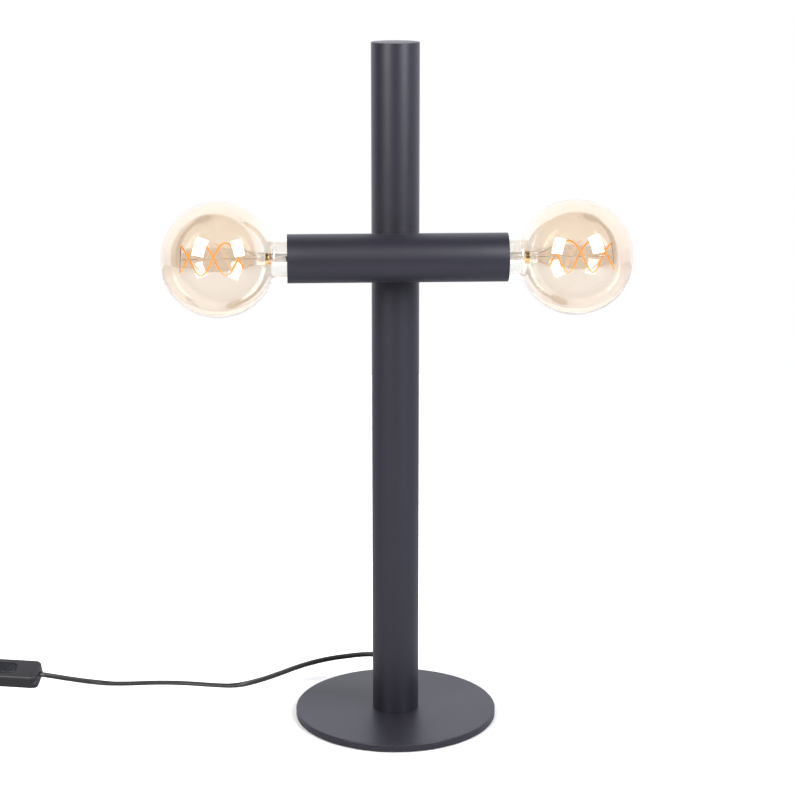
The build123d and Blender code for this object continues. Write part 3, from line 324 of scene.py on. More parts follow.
def powder_coat(shader, finishes):
    """Fine matt coat with a slight orange peel and cloudy gloss."""
    place = shader.place()
    peel = shader.noise(place, 1300.0, 3.0)
    grain = shader.noise(place, 5200.0, 1.0)
    cloud = shader.noise(place, 16.0, 2.0)
    colour = tuple(finishes.coat_colour)
    shader.surface({
        "Base Color": shader.blend(peel * 0.6 + cloud * 0.4, scaled(colour, 0.86), scaled(colour, 1.14)),
        "Roughness": cloud * 0.06 + peel * 0.08 + (finishes.coat_roughness - 0.07), "Specular IOR Level": 0.5,
        "Specular Tint": (0.93, 0.92, 1.0, 1.0),
        "Normal": shader.bump(peel * 0.7 + grain * 0.3, 0.22, 0.12 * MM)})


def foam_pad(shader, finishes):
    """Closed-cell foam."""
    cells = shader.noise(shader.place(), 2400.0, 4.0)
    shader.surface({
        "Base Color": shader.blend(cells, (0.012, 0.012, 0.012), (0.04, 0.04, 0.04)),
        "Roughness": cells * 0.1 + 0.85, "Normal": shader.bump(cells, 0.6, 0.2 * MM)})


def zinc_plate(shader, finishes):
    """Bright zinc with faint yellow patches."""
    place = shader.place()
    patch, scratch = shader.noise(place, 160.0, 3.0), shader.noise(place, 1900.0, 2.0)
    shader.surface({
        "Base Color": shader.blend(patch, (0.52, 0.53, 0.55), (0.66, 0.63, 0.56)), "Metallic": 1.0,
        "Roughness": patch * 0.12 + scratch * 0.1 + 0.2, "Normal": shader.bump(scratch, 0.12, 0.05 * MM)})


def moulded_plastic(shader, finishes):
    """Black plastic with a fine eroded mould texture."""
    place = shader.place()
    spark, cloud = shader.noise(place, 2600.0, 2.0), shader.noise(place, 45.0, 2.0)
    colour = tuple(finishes.plastic_colour)
    shader.surface({
        "Base Color": shader.blend(cloud, scaled(colour, 0.9), scaled(colour, 1.12)),
        "Roughness": spark * 0.1 + cloud * 0.06 + 0.36, "Specular IOR Level": 0.35,
        "Normal": shader.bump(spark, 0.25, 0.08 * MM)})


def gloss_plastic(shader, finishes):
    """Polished rocker with light finger wear."""
    place = shader.place()
    wear, ripple = shader.noise(place, 220.0, 3.0), shader.noise(place, 90.0, 1.0)
    colour = tuple(finishes.rocker_colour)
    shader.surface({
        "Base Color": shader.blend(wear, colour, scaled(colour, 1.6)), "Roughness": wear * 0.12 + 0.14,
        "Specular IOR Level": 0.2, "Normal": shader.bump(ripple, 0.05, 0.3 * MM)})


def cord_sheath(shader, finishes):
    """Soft black sheath, a little wavy from its making."""
    place = shader.place()
    wave, grain = shader.noise(place, 320.0, 2.0), shader.noise(place, 3400.0, 1.0)
    colour = tuple(finishes.cord_colour)
    shader.surface({
        "Base Color": shader.blend(wave, scaled(colour, 0.85), scaled(colour, 1.2)),
        "Roughness": grain * 0.08 + wave * 0.08 + 0.34,
        "Normal": shader.bump(wave * 0.75 + grain * 0.25, 0.12, 0.12 * MM)})


def white_plastic(shader, finishes):
    """Terminal block."""
    cloud = shader.noise(shader.place(), 400.0, 2.0)
    shader.surface({
        "Base Color": shader.blend(cloud, (0.74, 0.73, 0.69), (0.8, 0.79, 0.76)),
        "Roughness": cloud * 0.1 + 0.4, "Normal": shader.bump(cloud, 0.1, 0.1 * MM)})


def nickel(shader, finishes):
    """Thin drawn nickel of the screw caps and shells."""
    place = shader.place()
    drawn = shader.noise(shader.stretched(place, (1.0, 6.0, 6.0)), 260.0, 3.0)
    stain = shader.noise(place, 120.0, 3.0)
    shader.surface({
        "Base Color": shader.blend(stain, (0.62, 0.60, 0.56), (0.74, 0.73, 0.70)), "Metallic": 1.0,
        "Roughness": drawn * 0.14 + stain * 0.08 + 0.14, "Normal": shader.bump(drawn, 0.1, 0.04 * MM)})


def black_glass(shader, finishes):
    """Fused black glass of the cap's end."""
    swirl = shader.noise(shader.place(), 300.0, 2.0)
    shader.surface({
        "Base Color": shader.blend(swirl, (0.008, 0.008, 0.01), (0.025, 0.022, 0.03)),
        "Roughness": swirl * 0.12 + 0.08, "Normal": shader.bump(swirl, 0.2, 0.2 * MM)})


def brass(shader, finishes):
    """Bright contact brass."""
    place = shader.place()
    stain, drawn = shader.noise(place, 240.0, 3.0), shader.noise(place, 2200.0, 2.0)
    shader.surface({
        "Base Color": shader.blend(stain, (0.70, 0.50, 0.22), (0.80, 0.62, 0.32)), "Metallic": 1.0,
        "Roughness": stain * 0.12 + drawn * 0.06 + 0.2, "Normal": shader.bump(drawn, 0.1, 0.04 * MM)})


def pin_nickel(shader, finishes):
    """Nickel plated pins with fine rubbing marks along them."""
    place = shader.place()
    rub = shader.noise(shader.stretched(place, (0.3, 5.0, 5.0)), 700.0, 2.0)
    shader.surface({
        "Base Color": shader.blend(rub, (0.66, 0.65, 0.62), (0.75, 0.74, 0.71)), "Metallic": 1.0,
        "Roughness": rub * 0.16 + 0.16, "Normal": shader.bump(rub, 0.06, 0.03 * MM)})


def amber_glass(shader, finishes):
    """Clear glass with an amber coat that thins out towards the neck, slightly uneven from blowing.

    Its index lies above that of real glass, which gives the coat's strong rim and reflections.
    """
    place = shader.place()
    blown, cloud = shader.noise(place, 26.0, 1.0), shader.noise(place, 9.0, 1.0)
    outward = shader.number("ABSOLUTE", shader.part(place, "X"), 0.0)
    coated = shader.ease(outward, BALL_AT - BALL_R, BALL_AT - 0.5 * BALL_R)
    bare, amber = (0.955, 0.945, 0.92), tuple(finishes.glass_tint)
    shader.surface({
        "Base Color": shader.blend(coated * (1.0 - cloud * 0.1), bare, amber),
        "Roughness": 0.0, "IOR": 2.0, "Transmission Weight": 1.0, "Specular Tint": (0.6, 0.82, 0.95, 1.0),
        "Normal": shader.bump(blown, 0.04, 1.0 * MM)})


def clear_glass(shader, finishes):
    """Glass of the stem and its press."""
    drawn = shader.noise(shader.place(), 90.0, 1.0)
    shader.surface({
        "Base Color": shader.blend(drawn, (0.96, 0.965, 0.96), (0.99, 0.99, 0.985)), "Roughness": 0.02,
        "IOR": 1.5, "Transmission Weight": 1.0, "Normal": shader.bump(drawn, 0.1, 0.5 * MM)})


def bright_wire(shader, finishes):
    """Drawn wire of the leads and the support."""
    drawn = shader.noise(shader.place(), 1500.0, 2.0)
    shader.surface({
        "Base Color": shader.blend(drawn, (0.70, 0.67, 0.61), (0.80, 0.77, 0.72)), "Metallic": 0.55,
        "Roughness": drawn * 0.15 + 0.38, "Normal": shader.bump(drawn, 0.08, 0.03 * MM)})


def phosphor(shader, finishes):
    """Warm phosphor coat of the filament, a little granular, with painted light: its emission stands in for
    the studio light that the glass keeps from the strands.
    """
    grain = shader.noise(shader.place(), 900.0, 2.0)
    colour = tuple(finishes.filament_painted_light_colour)
    shader.surface({
        "Base Color": shader.blend(grain, (0.62, 0.27, 0.05), (0.75, 0.36, 0.08)), "Roughness": 0.5,
        # Painted light on the strands, in place of the studio light that the glass keeps from them
        "Emission Color": shader.blend(grain, scaled(colour, 0.88), scaled(colour, 1.08)),
        "Emission Strength": finishes.filament_painted_light, "Specular IOR Level": 0.2,
        "Normal": shader.bump(grain, 0.15, 0.1 * MM)})


# The record's slots and the finish that each one gets
FINISHES = {
    "powder_coat": powder_coat, "foam_pad": foam_pad, "zinc_steel": zinc_plate,
    "black_plastic": moulded_plastic, "rocker_plastic": gloss_plastic, "cord_pvc": cord_sheath,
    "white_plastic": white_plastic,
    "cap_metal": nickel, "cap_insulator": black_glass, "contact_brass": brass, "pin_metal": pin_nickel,
    "amber_glass": amber_glass, "clear_glass": clear_glass, "wire_metal": bright_wire, "filament": phosphor}


def finish(slot):
    """The material of one of the record's slots, made once."""
    name = "finish " + slot
    material = bpy.data.materials.get(name)
    if material is None:
        material = bpy.data.materials.new(name)
        material.use_nodes = True
        FINISHES[slot](Shader(material.node_tree), bpy.context.scene.lamp_finishes)
    return material


def soften(corners, steps=6):
    """Outline through (x, y, radius) corners, each rounded by its radius."""
    points = []
    for i, (x, y, radius) in enumerate(corners):
        spot = Vector((x, y))
        if radius == 0:
            points.append(tuple(spot))
            continue
        back = (Vector(corners[i - 1][:2]) - spot).normalized()
        onward = (Vector(corners[(i + 1) % len(corners)][:2]) - spot).normalized()
        half = back.angle(onward) / 2
        centre = spot + (back + onward).normalized() * radius / math.sin(half)
        first = spot + back * radius / math.tan(half) - centre
        last = spot + onward * radius / math.tan(half) - centre
        turn = math.pi - 2 * half
        for step in range(steps + 1):
            share = step / steps
            arm = (first * math.sin((1 - share) * turn) + last * math.sin(share * turn)) / math.sin(turn)
            points.append(tuple(centre + arm))
    return points


def skin(name, rings, loop=False):
    """Mesh over rings of equally many points, closed over its ends or joined into a loop."""
    mesh = bpy.data.meshes.new(name)
    build = bmesh.new()
    rows = [[build.verts.new(point) for point in ring] for ring in rings]
    pairs = list(zip(rows, rows[1:])) + ([(rows[-1], rows[0])] if loop else [])
    for row, following in pairs:
        for i in range(len(row)):
            j = (i + 1) % len(row)
            build.faces.new((row[i], row[j], following[j], following[i]))
    if not loop:
        build.faces.new(rows[0])
        build.faces.new(rows[-1])
    bmesh.ops.remove_doubles(build, verts=build.verts, dist=1e-7)
    bmesh.ops.recalc_face_normals(build, faces=build.faces)
    build.to_mesh(mesh)
    build.free()
    smooth(mesh, CREASE)
    piece = bpy.data.objects.new(name, mesh)
    bpy.context.scene.collection.objects.link(piece)
    return piece


def smooth(mesh, crease):
    """Smooth shading with sharp edges where faces turn by more than the crease angle."""
    mesh.polygons.foreach_set("use_smooth", [True] * len(mesh.polygons))
    mesh.set_sharp_from_angle(angle=math.radians(crease))
    mesh.update()


def upright(radius, turn, along):
    """A place round the upright tube's axis."""
    return radius * math.cos(turn), radius * math.sin(turn), along


def on_arm(side):
    """Places round the cross tube's axis, outward from its middle."""
    def place(radius, turn, along):
        return side * along, ARM_Y + radius * math.cos(turn), ARM_Z + radius * math.sin(turn)
    return place


def lathe(name, outline, place, steps=128, loop=False):
    """Piece turned from (radius, along) points."""
    turns = [2 * math.pi * i / steps for i in range(steps)]
    rings = [[place(max(radius, 0.0), turn, along) for turn in turns] for radius, along in outline]
    return skin(name, rings, loop)


def settle(piece, body, slot, *nodes):
    """Give a new piece its finish and its body, and hide the CAD nodes that it stands for."""
    piece.data.materials.clear()
    piece.data.materials.append(finish(slot))
    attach(piece, body)
    if nodes:
        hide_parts(*nodes)
    return piece


def dress(slot, *nodes, crease=CREASE):
    """Give CAD nodes their finish and smooth shading."""
    for node in nodes:
        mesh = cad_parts[node].data
        mesh.materials.clear()
        mesh.materials.append(finish(slot))
        smooth(mesh, crease)


def spline_points(name, spots, resolution):
    """Points along a smooth curve that has the spots as its control points."""
    curve = bpy.data.curves.new(name, "CURVE")
    curve.dimensions = "3D"
    line = curve.splines.new("NURBS")
    line.points.add(len(spots) - 1)
    for point, spot in zip(line.points, spots):
        point.co = (*spot, 1.0)
    line.order_u = 3
    line.use_endpoint_u = True
    line.resolution_u = resolution
    guide = bpy.data.objects.new(name, curve)
    mesh = bpy.data.meshes.new_from_object(guide)
    points = [vertex.co.copy() for vertex in mesh.vertices]
    bpy.data.objects.remove(guide)
    bpy.data.curves.remove(curve)
    bpy.data.meshes.remove(mesh)
    return points


def shares(points):
    """How far along the line each point lies, from 0 to 1."""
    total, reached = 0.0, [0.0]
    for before, after in zip(points, points[1:]):
        total += (after - before).length
        reached.append(total)
    return [length / total for length in reached]


def within(share):
    """The share, held between 0 and 1."""
    return min(max(share, 0.0), 1.0)


def eased(share):
    """From 0 to 1 with a soft start and end."""
    return share * share * (3 - 2 * share)


def between(stops, at):
    """Smooth value at a place between (place, value) stops."""
    for (low, first), (high, second) in zip(stops, stops[1:]):
        if at <= high:
            return first + (second - first) * eased(within((at - low) / (high - low)))
    return stops[-1][1]


def direction(points, i):
    """The line's way at one of its points."""
    return (points[min(i + 1, len(points) - 1)] - points[max(i - 1, 0)]).normalized()


def cord_outline(sizes, steps=7):
    """The flat cord's section, its wide side along the first axis."""
    radius = sizes.cord_thickness / 2
    reach = sizes.cord_width / 2 - radius
    outline = []
    for side in (1, -1):
        for i in range(steps + 1):
            turn = math.pi * (i / steps - 0.5)
            outline.append((side * (reach + radius * math.cos(turn)), side * radius * math.sin(turn)))
    return outline


def flat_cord(name, points, twists):
    """Mesh of the flat cord along the points, turned from flat by each point's twist."""
    sizes = bpy.context.scene.lamp_sizes
    outline = cord_outline(sizes)
    rings = []
    for i, (point, twist) in enumerate(zip(points, twists)):
        along = direction(points, i)
        level = along.cross(Vector((0, 0, 1))).normalized()
        upward = level.cross(along)
        turn = math.radians(twist)
        wide = level * math.cos(turn) + upward * math.sin(turn)
        thin = upward * math.cos(turn) - level * math.sin(turn)
        rings.append([point + wide * x + thin * y for x, y in outline])
    return skin(name, rings)


def laid_down(points, twists):
    """The points lowered where the cord lies on the floor, so that it rests on it at its twist."""
    sizes = bpy.context.scene.lamp_sizes
    round_r = sizes.cord_thickness / 2
    straight = sizes.cord_width / 2 - round_r
    on_edge = 2.5 * MM
    rise = 3 * MM
    laid = []
    for point, twist in zip(points, twists):
        rest = round_r + straight * abs(math.sin(math.radians(twist)))
        lift = within((point.z - on_edge) / rise)
        laid.append(point - Vector((0, 0, (on_edge - rest) * (1 - lift))))
    return laid


def coil_spots():
    """The coil's turns: inward on the lower layer, then outward on the upper one."""
    start = math.atan2(SWITCH_WAY.x, -SWITCH_WAY.y)
    join = SWITCH_LEFT_END - SWITCH_WAY * SWITCH_TO_COIL
    centre = join - COIL_OUTER_R * Vector((math.cos(start), math.sin(start), 0))
    aim = (COIL_END_ANGLE - start) / (2 * math.pi)
    turns = aim + round(2 * COIL_TURNS_IN - aim)
    inner = COIL_OUTER_R - COIL_PITCH * COIL_TURNS_IN
    steps = math.ceil(turns * COIL_POINTS_A_TURN)
    spots = []
    for i in range(steps + 1):
        turn = turns * i / steps
        climb = within((turn - COIL_TURNS_IN) / COIL_CLIMB + 0.5)
        radius = inner + COIL_PITCH * abs(turn - COIL_TURNS_IN)
        angle = start + 2 * math.pi * turn
        height = COIL_LOW_Z + COIL_LAYER * (1 - math.cos(math.pi * climb)) / 2
        across, back = radius * math.cos(angle), radius * math.sin(angle)
        spots.append(Vector((centre.x + across, centre.y + back, height)))
    way = Vector((-math.sin(COIL_END_ANGLE), math.cos(COIL_END_ANGLE), 0))
    return spots, way


def cord_to_plug_route():
    """From the switch down to the floor, round the coil and on to the plug."""
    reach = SWITCH_TO_COIL - COIL_RUN
    route = [SWITCH_LEFT_END.copy()]
    for share, height in DROP_TO_COIL:
        spot = SWITCH_LEFT_END - SWITCH_WAY * reach * share
        route.append(Vector((spot.x, spot.y, height)))
    spots, way = coil_spots()
    route += spots
    end = spots[-1] + way * COIL_RUN
    route.append(end)
    for run, height in enumerate(TAIL_HEIGHTS, start=1):
        spot = end + way * TAIL_RUN * run
        route.append(Vector((spot.x, spot.y, height)))
    return route


class LAMP_OT_camera(bpy.types.Operator):
    """Place the camera as the photograph was taken"""

    bl_idname = "lamp.camera"
    bl_label = "Camera"

    def execute(self, context):
        lens = bpy.data.cameras.new("photo_camera")
        lens.sensor_width = PHOTO_SENSOR
        lens.lens = PHOTO_LENS
        camera = bpy.data.objects.new("photo_camera", lens)
        camera.location = PHOTO_CAMERA
        camera.rotation_euler = (PHOTO_TILT, 0, PHOTO_PAN)
        context.scene.collection.objects.link(camera)
        context.scene.camera = camera
        return {"FINISHED"}


class LAMP_OT_cords(bpy.types.Operator):
    """Lay the cord from the lamp through the switch and its coil to the plug"""

    bl_idname = "lamp.cords"
    bl_label = "Cords"

    def execute(self, context):
        last = SWITCH_RIGHT_END + SWITCH_WAY * SWITCH_RUN + Vector((0, 0, -SWITCH_SAG))
        spots = [Vector(spot) for spot in (CORD_EXIT, *ROUTE_TO_SWITCH, last, SWITCH_RIGHT_END)]
        points = spline_points("switch route", spots, 12)
        twists = [between(CORD_TWIST, share) for share in shares(points)]
        points = laid_down(points, twists)
        cord = flat_cord("cord_to_switch_sheath", points, twists)
        settle(cord, "lamp", "cord_pvc", "cord_to_switch")
        switch = [bpy.data.objects[name] for name in SWITCH_SHELLS.values()]
        switch += [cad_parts[name] for name in (
            "switch_rocker", "rocker_pin", "rocker_bridge", "switch_contacts", "switch_screws")]

        points = spline_points("plug route", cord_to_plug_route(), 4)
        turned = CORD_TURNS_OVER / TO_PLUG_LENGTH
        twist = [(0.0, 25), (turned, 90), (1 - turned, 90), (1.0, 0)]
        twists = [between(twist, share) for share in shares(points)]
        cord = flat_cord("cord_to_plug_sheath", points, twists)
        settle(cord, "lamp", "cord_pvc", "cord_from_switch", "cord_coil", "cord_tail")
        return {"FINISHED"}


class LAMP_OT_base(bpy.types.Operator):
    """Dress the round base plate, its pad and the bolt and slug that hold the tube"""

    bl_idname = "lamp.base"
    bl_label = "Base"

    def execute(self, context):
        edge = context.scene.lamp_sizes.plate_edge
        low, high = PLATE[0].z, PLATE[1].z
        bolt_r = 8.0 * MM
        outline = soften([
            (bolt_r, low, 0), (BASE_R, low, edge / 4), (BASE_R, high, edge), (BASE_R - 4 * edge, high, 0),
            (POST_R + edge, high, 0), (bolt_r, high, 0)])
        disc = lathe("base_disc", outline, upright, steps=192, loop=True)
        settle(disc, "lamp", "powder_coat", "base_plate")
        dress("foam_pad", "base_pad")
        dress("zinc_steel", "base_bolt", "post_foot")
        return {"FINISHED"}


class LAMP_OT_post(bpy.types.Operator):
    """Turn the upright tube and the flat cap in its top"""

    bl_idname = "lamp.post"
    bl_label = "Upright tube"

    def execute(self, context):
        sizes = context.scene.lamp_sizes
        low, high, bore = POST[0].z, POST[1].z, POST_R - sizes.tube_wall
        edge = sizes.tube_edge
        cap_t = 2 * MM
        outline = soften([
            (bore, low, 0), (POST_R, low, edge / 4), (POST_R, high, edge), (bore, high, edge / 3)])
        outline.append((bore, (low + high) / 2))
        settle(lathe("upright_tube", outline, upright, loop=True), "lamp", "powder_coat", "post_tube")
        cap_r = (POST_CAP[1].x - POST_CAP[0].x) / 2
        skirt = cap_r - sizes.tube_wall
        floor = POST_CAP[1].z - cap_t
        outline = soften([
            (0, floor, 0), (skirt, floor, 0), (skirt, POST_CAP[0].z, 0), (cap_r, POST_CAP[0].z, 0),
            (cap_r, POST_CAP[1].z, edge), (0, POST_CAP[1].z, 0)])
        settle(lathe("top_cap", outline, upright), "lamp", "powder_coat", "post_cap")
        dress("cord_pvc", "post_lead")
        return {"FINISHED"}


class LAMP_OT_arm(bpy.types.Operator):
    """Turn the cross tube and dress what joins it to the upright"""

    bl_idname = "lamp.arm"
    bl_label = "Cross tube"

    def execute(self, context):
        sizes = context.scene.lamp_sizes
        bore, edge = ARM_R - sizes.tube_wall, sizes.tube_edge
        outline = soften([
            (bore, ARM[0].x, edge / 2), (ARM_R, ARM[0].x, edge), (ARM_R, ARM[1].x, edge),
            (bore, ARM[1].x, 0)])
        settle(lathe("cross_tube", outline, on_arm(1), loop=True), "lamp", "powder_coat", "arm_tube")
        dress("powder_coat", "saddle_spacer")
        dress("zinc_steel", "joint_nipple", "joint_washers", "joint_nuts")
        dress("white_plastic", "terminal_block")
        return {"FINISHED"}


class LAMP_OT_holders(bpy.types.Operator):
    """Dress the two lampholders inside the cross tube"""

    bl_idname = "lamp.holders"
    bl_label = "Lampholders"

    def execute(self, context):
        dress("zinc_steel", "holder_nipples", "holder_nuts")
        for side in SIDES:
            dress("zinc_steel", side + "_holder_bracket")
            dress("black_plastic", side + "_holder_cup")
            dress("cap_metal", side + "_holder_shell")
            dress("contact_brass", side + "_holder_contact")
            dress("cord_pvc", side + "_holder_wires")
        return {"FINISHED"}


def glass_profile(offset, steps=48):
    """One face of the bulb's glass from its open end to the tip, taken inward by the offset."""
    sizes = bpy.context.scene.lamp_sizes
    ball, neck, hollow = BALL_R - offset, sizes.neck_radius - offset, sizes.neck_fillet + offset
    end_r = 12.7 * MM - offset
    spread = CAP_RIM + 0.5 * MM
    rise = 7.6 * MM
    shoulder_steps, fillet_steps = 12, 8
    fillet_at = BALL_AT - math.sqrt((ball + hollow) ** 2 - (neck + hollow) ** 2)
    profile = [(end_r, GLASS[0].x), (end_r, spread)]
    for i in range(1, shoulder_steps + 1):
        share = i / shoulder_steps
        profile.append((end_r + (neck - end_r) * eased(share), spread + rise * share))
    turn = math.atan2(BALL_AT - fillet_at, neck + hollow)
    for i in range(fillet_steps + 1):
        angle = turn * i / fillet_steps
        profile.append((neck + hollow - hollow * math.cos(angle), fillet_at + hollow * math.sin(angle)))
    for i in range(1, steps + 1):
        angle = -turn + (math.pi / 2 + turn) * i / steps
        profile.append((ball * math.cos(angle), BALL_AT + ball * math.sin(angle)))
    profile[-1] = (0.0, BALL_AT + ball)
    return profile


def bulb_glass(side):
    """Globe and neck in one even wall, open inside the cap."""
    wall = bpy.context.scene.lamp_sizes.glass_wall
    profile = glass_profile(0.0)[::-1] + glass_profile(wall)
    return lathe(side + "_globe", profile, on_arm(SIDES[side]))


def thread(along, turn, low, high, sizes):
    """Depth of the rolled thread at a place on the cap."""
    pitch = sizes.thread_pitch
    ends = within((along - low) / pitch) * within((high - along) / pitch)
    return sizes.thread_depth * ends * (0.5 + 0.5 * math.cos(2 * math.pi * along / pitch - turn))


def bulb_cap(side):
    """Screw cap with a rolled thread and a thin wall."""
    sizes = bpy.context.scene.lamp_sizes
    place = on_arm(SIDES[side])
    outer_r = (SCREW_CAP[1].z - SCREW_CAP[0].z) / 2
    cone_r = 11.0 * MM
    cone_rise = 1.0 * MM
    wall = 0.4 * MM
    lip = 0.2 * MM
    low = SCREW_CAP[0].x
    wide = low + cone_rise
    thread_from = wide + 1.5 * MM
    thread_to = CAP_RIM - 4 * MM
    steps, rows = 72, 64
    turns = [2 * math.pi * i / steps for i in range(steps)]
    stops = [wide + lip + (CAP_RIM - wide - 0.5 * MM) * i / rows for i in range(rows + 1)]

    def plain(radius, along):
        return [place(radius, turn, along) for turn in turns]

    def threaded(radius, along):
        depths = [thread(along, turn, thread_from, thread_to, sizes) for turn in turns]
        return [place(radius - depth, turn, along) for depth, turn in zip(depths, turns)]

    rings = [plain(cone_r, low), plain(outer_r - lip, wide)]
    rings += [threaded(outer_r, along) for along in stops]
    rings.append(plain(outer_r - wall / 2, CAP_RIM))
    rings += [threaded(outer_r - wall, along) for along in reversed(stops)]
    rings.append(plain(cone_r - wall, low + wall))
    return skin(side + "_screw_cap", rings, loop=True)


def bulb_stem(side):
    """Stem with a flared foot, a bore and a flat press at its inner end."""
    foot, tip = STEM[0].x, STEM[1].x
    stem_r = 4.65 * MM
    wall = 0.9 * MM
    flare_r = (STEM[1].z - STEM[0].z) / 2
    flare_length = 6 * MM
    press = tip - 10 * MM
    press_start = press - 2 * MM
    press_rise = 4.5 * MM
    press_t = 3.6 * MM
    flat = press_t / 2 / stem_r
    flare_steps, press_steps, round_steps = 8, 8, 48
    bend = [math.pi / 2 * i / flare_steps for i in range(flare_steps + 1)]

    def flare(radius, bends):
        spread = flare_r - stem_r
        return [(radius + spread * (1 - math.sin(a)), foot + flare_length * math.cos(a), 1) for a in bends]

    # Radius, place along the stem and share left of the thickness, from the bore's end round to the tip
    rows = [(0.0, press - 3 * MM, 1), (stem_r - 2 * wall, press - 3.4 * MM, 1)]
    rows += [(stem_r - wall, press - 5 * MM, 1)]
    rows += flare(stem_r - wall, bend[::-1]) + flare(stem_r, bend)
    rows.append((stem_r, press_start, 1))
    for i in range(1, press_steps + 1):
        share = i / press_steps
        rows.append((stem_r, press_start + press_rise * share, 1 + (flat - 1) * eased(share)))
    rows += [(stem_r, tip - 0.8 * MM, flat), (stem_r * 0.97, tip - 0.25 * MM, flat * 0.9),
             (stem_r * 0.85, tip, flat * 0.6), (0.0, tip, flat)]
    rings = []
    for radius, along, ratio in rows:
        squared = 1 - 0.25 * (1 - ratio)
        ring = []
        for i in range(round_steps):
            turn = 2 * math.pi * i / round_steps
            across = math.copysign(abs(math.cos(turn)) ** squared, math.cos(turn))
            upward = math.copysign(abs(math.sin(turn)) ** squared, math.sin(turn))
            ring.append((SIDES[side] * along, ARM_Y + radius * ratio * across, ARM_Z + radius * upward))
        rings.append(ring)
    return skin(side + "_stem", rings)


def bulb_filament(side):
    """Two strands of a double spiral, each with a round tube section and domed ends."""
    sizes = bpy.context.scene.lamp_sizes
    near = BALL_AT - 20.5 * MM
    far = BALL_AT + 30.7 * MM
    rearmost = BALL_AT + 5 * MM
    steps, sides = 96, 12
    strands = []
    for strand, letter in enumerate("ab"):
        points = []
        for i in range(steps + 1):
            at = near + (far - near) * i / steps
            turn = 2 * math.pi * (at - rearmost) / sizes.strand_pitch + strand * math.pi
            points.append(Vector((
                SIDES[side] * at, ARM_Y + sizes.strand_reach * math.cos(turn),
                ARM_Z + sizes.strand_reach * math.sin(turn))))
        strands.append(round_tube(side + "_strand_" + letter, points, sizes.strand_width / 2, sides))
    return strands


def round_tube(name, points, radius, sides):
    """Round bar along points, with domed ends."""
    # How far in from the end each ring of the dome lies, and how wide it is, as shares of the radius
    dome = [(0.0, 0.55), (0.25, 0.85), (0.7, 1.0)]
    across = direction(points, 0).orthogonal().normalized()
    last, step = len(points) - 1, (points[1] - points[0]).length
    rings = []
    for i, point in enumerate(points):
        along = direction(points, i)
        across = (across - along * across.dot(along)).normalized()
        other = along.cross(across)
        turns = [2 * math.pi * j / sides for j in range(sides)]
        ring = [across * math.cos(turn) + other * math.sin(turn) for turn in turns]
        if i == 0:
            stops = [(point + along * radius * inward, share) for inward, share in dome]
        elif i == last:
            stops = [(point - along * radius * inward, share) for inward, share in reversed(dome)]
        elif min(i, last - i) * step < radius:
            continue
        else:
            stops = [(point, 1.0)]
        for centre, share in stops:
            rings.append([centre + arm * radius * share for arm in ring])
    return skin(name, rings)


def stem_clip(side):
    """Thin brass ring round the stem."""
    low, high = 105.6 * MM, 107.8 * MM
    inner, outer = 4.68 * MM, 5.15 * MM
    edge = 0.12 * MM
    outline = soften([(inner, low, 0), (outer, low, edge), (outer, high, edge), (inner, high, 0)], steps=4)
    return lathe(side + "_stem_clip", outline, on_arm(SIDES[side]), steps=48, loop=True)


class LAMP_OT_bulbs(bpy.types.Operator):
    """Build the two globe bulbs with their caps, stems and filaments"""

    bl_idname = "lamp.bulbs"
    bl_label = "Bulbs"

    def execute(self, context):
        for side in SIDES:
            body = side + "_bulb"
            settle(bulb_glass(side), body, "amber_glass", side + "_bulb_glass")
            settle(bulb_cap(side), body, "cap_metal", side + "_bulb_cap")
            settle(bulb_stem(side), body, "clear_glass", side + "_bulb_stem")
            settle(stem_clip(side), body, "contact_brass")
            for strand in bulb_filament(side):
                settle(strand, body, "filament", side + "_bulb_filament")
            dress("cap_insulator", side + "_bulb_insulator")
            dress("contact_brass", side + "_bulb_contact")
            dress("wire_metal", side + "_bulb_leads", side + "_bulb_support", crease=60)
        return {"FINISHED"}


class LAMP_OT_relief(bpy.types.Operator):
    """Dress the strain relief where the cord leaves the upright tube"""

    bl_idname = "lamp.relief"
    bl_label = "Strain relief"

    def execute(self, context):
        dress("black_plastic", "strain_relief", "relief_nut")
        return {"FINISHED"}


def switch_form():
    """Block with soft edges and corners, its flat faces just outside those of the switch."""
    sizes = bpy.context.scene.lamp_sizes
    edge, corner = sizes.switch_edge, sizes.switch_corner
    clear = 0.02 * MM
    steps = 6
    level = Vector((-SWITCH_WAY.y, SWITCH_WAY.x, 0))
    across = level * math.cos(SWITCH_TIP) + Vector((0, 0, 1)) * math.sin(SWITCH_TIP)
    normal = SWITCH_WAY.cross(across)
    foot = (SWITCH_RIGHT_END + SWITCH_LEFT_END) / 2 - normal * SWITCH_SPLIT
    turns = [math.pi / 2 * i / steps for i in range(steps + 1)]
    insets = [(edge * (1 - math.cos(turn)), edge * (1 - math.sin(turn))) for turn in turns]
    rows = [(rise - clear, inset) for rise, inset in insets]
    rows += [(SWITCH_HEIGHT + clear - rise, inset) for rise, inset in reversed(insets)]
    rings = []
    for rise, inset in rows:
        x, y = SWITCH_LENGTH / 2 + clear - inset, SWITCH_WIDTH / 2 + clear - inset
        radius = corner - inset
        plan = soften([(x, -y, radius), (x, y, radius), (-x, y, radius), (-x, -y, radius)])
        rings.append([foot + SWITCH_WAY * a + across * b + normal * rise for a, b in plan])
    return skin("switch_form", rings)


def cut_to(name, node, form):
    """A copy of a CAD node, cut to what lies inside the form."""
    piece = bpy.data.objects.new(name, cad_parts[node].data.copy())
    bpy.context.scene.collection.objects.link(piece)
    cut = piece.modifiers.new("soft edges", "BOOLEAN")
    cut.operation, cut.solver, cut.object = "INTERSECT", "EXACT", form
    shape = piece.evaluated_get(bpy.context.evaluated_depsgraph_get())
    mesh = bpy.data.meshes.new_from_object(shape)
    piece.modifiers.clear()
    piece.data = mesh
    smooth(mesh, CREASE)
    return piece


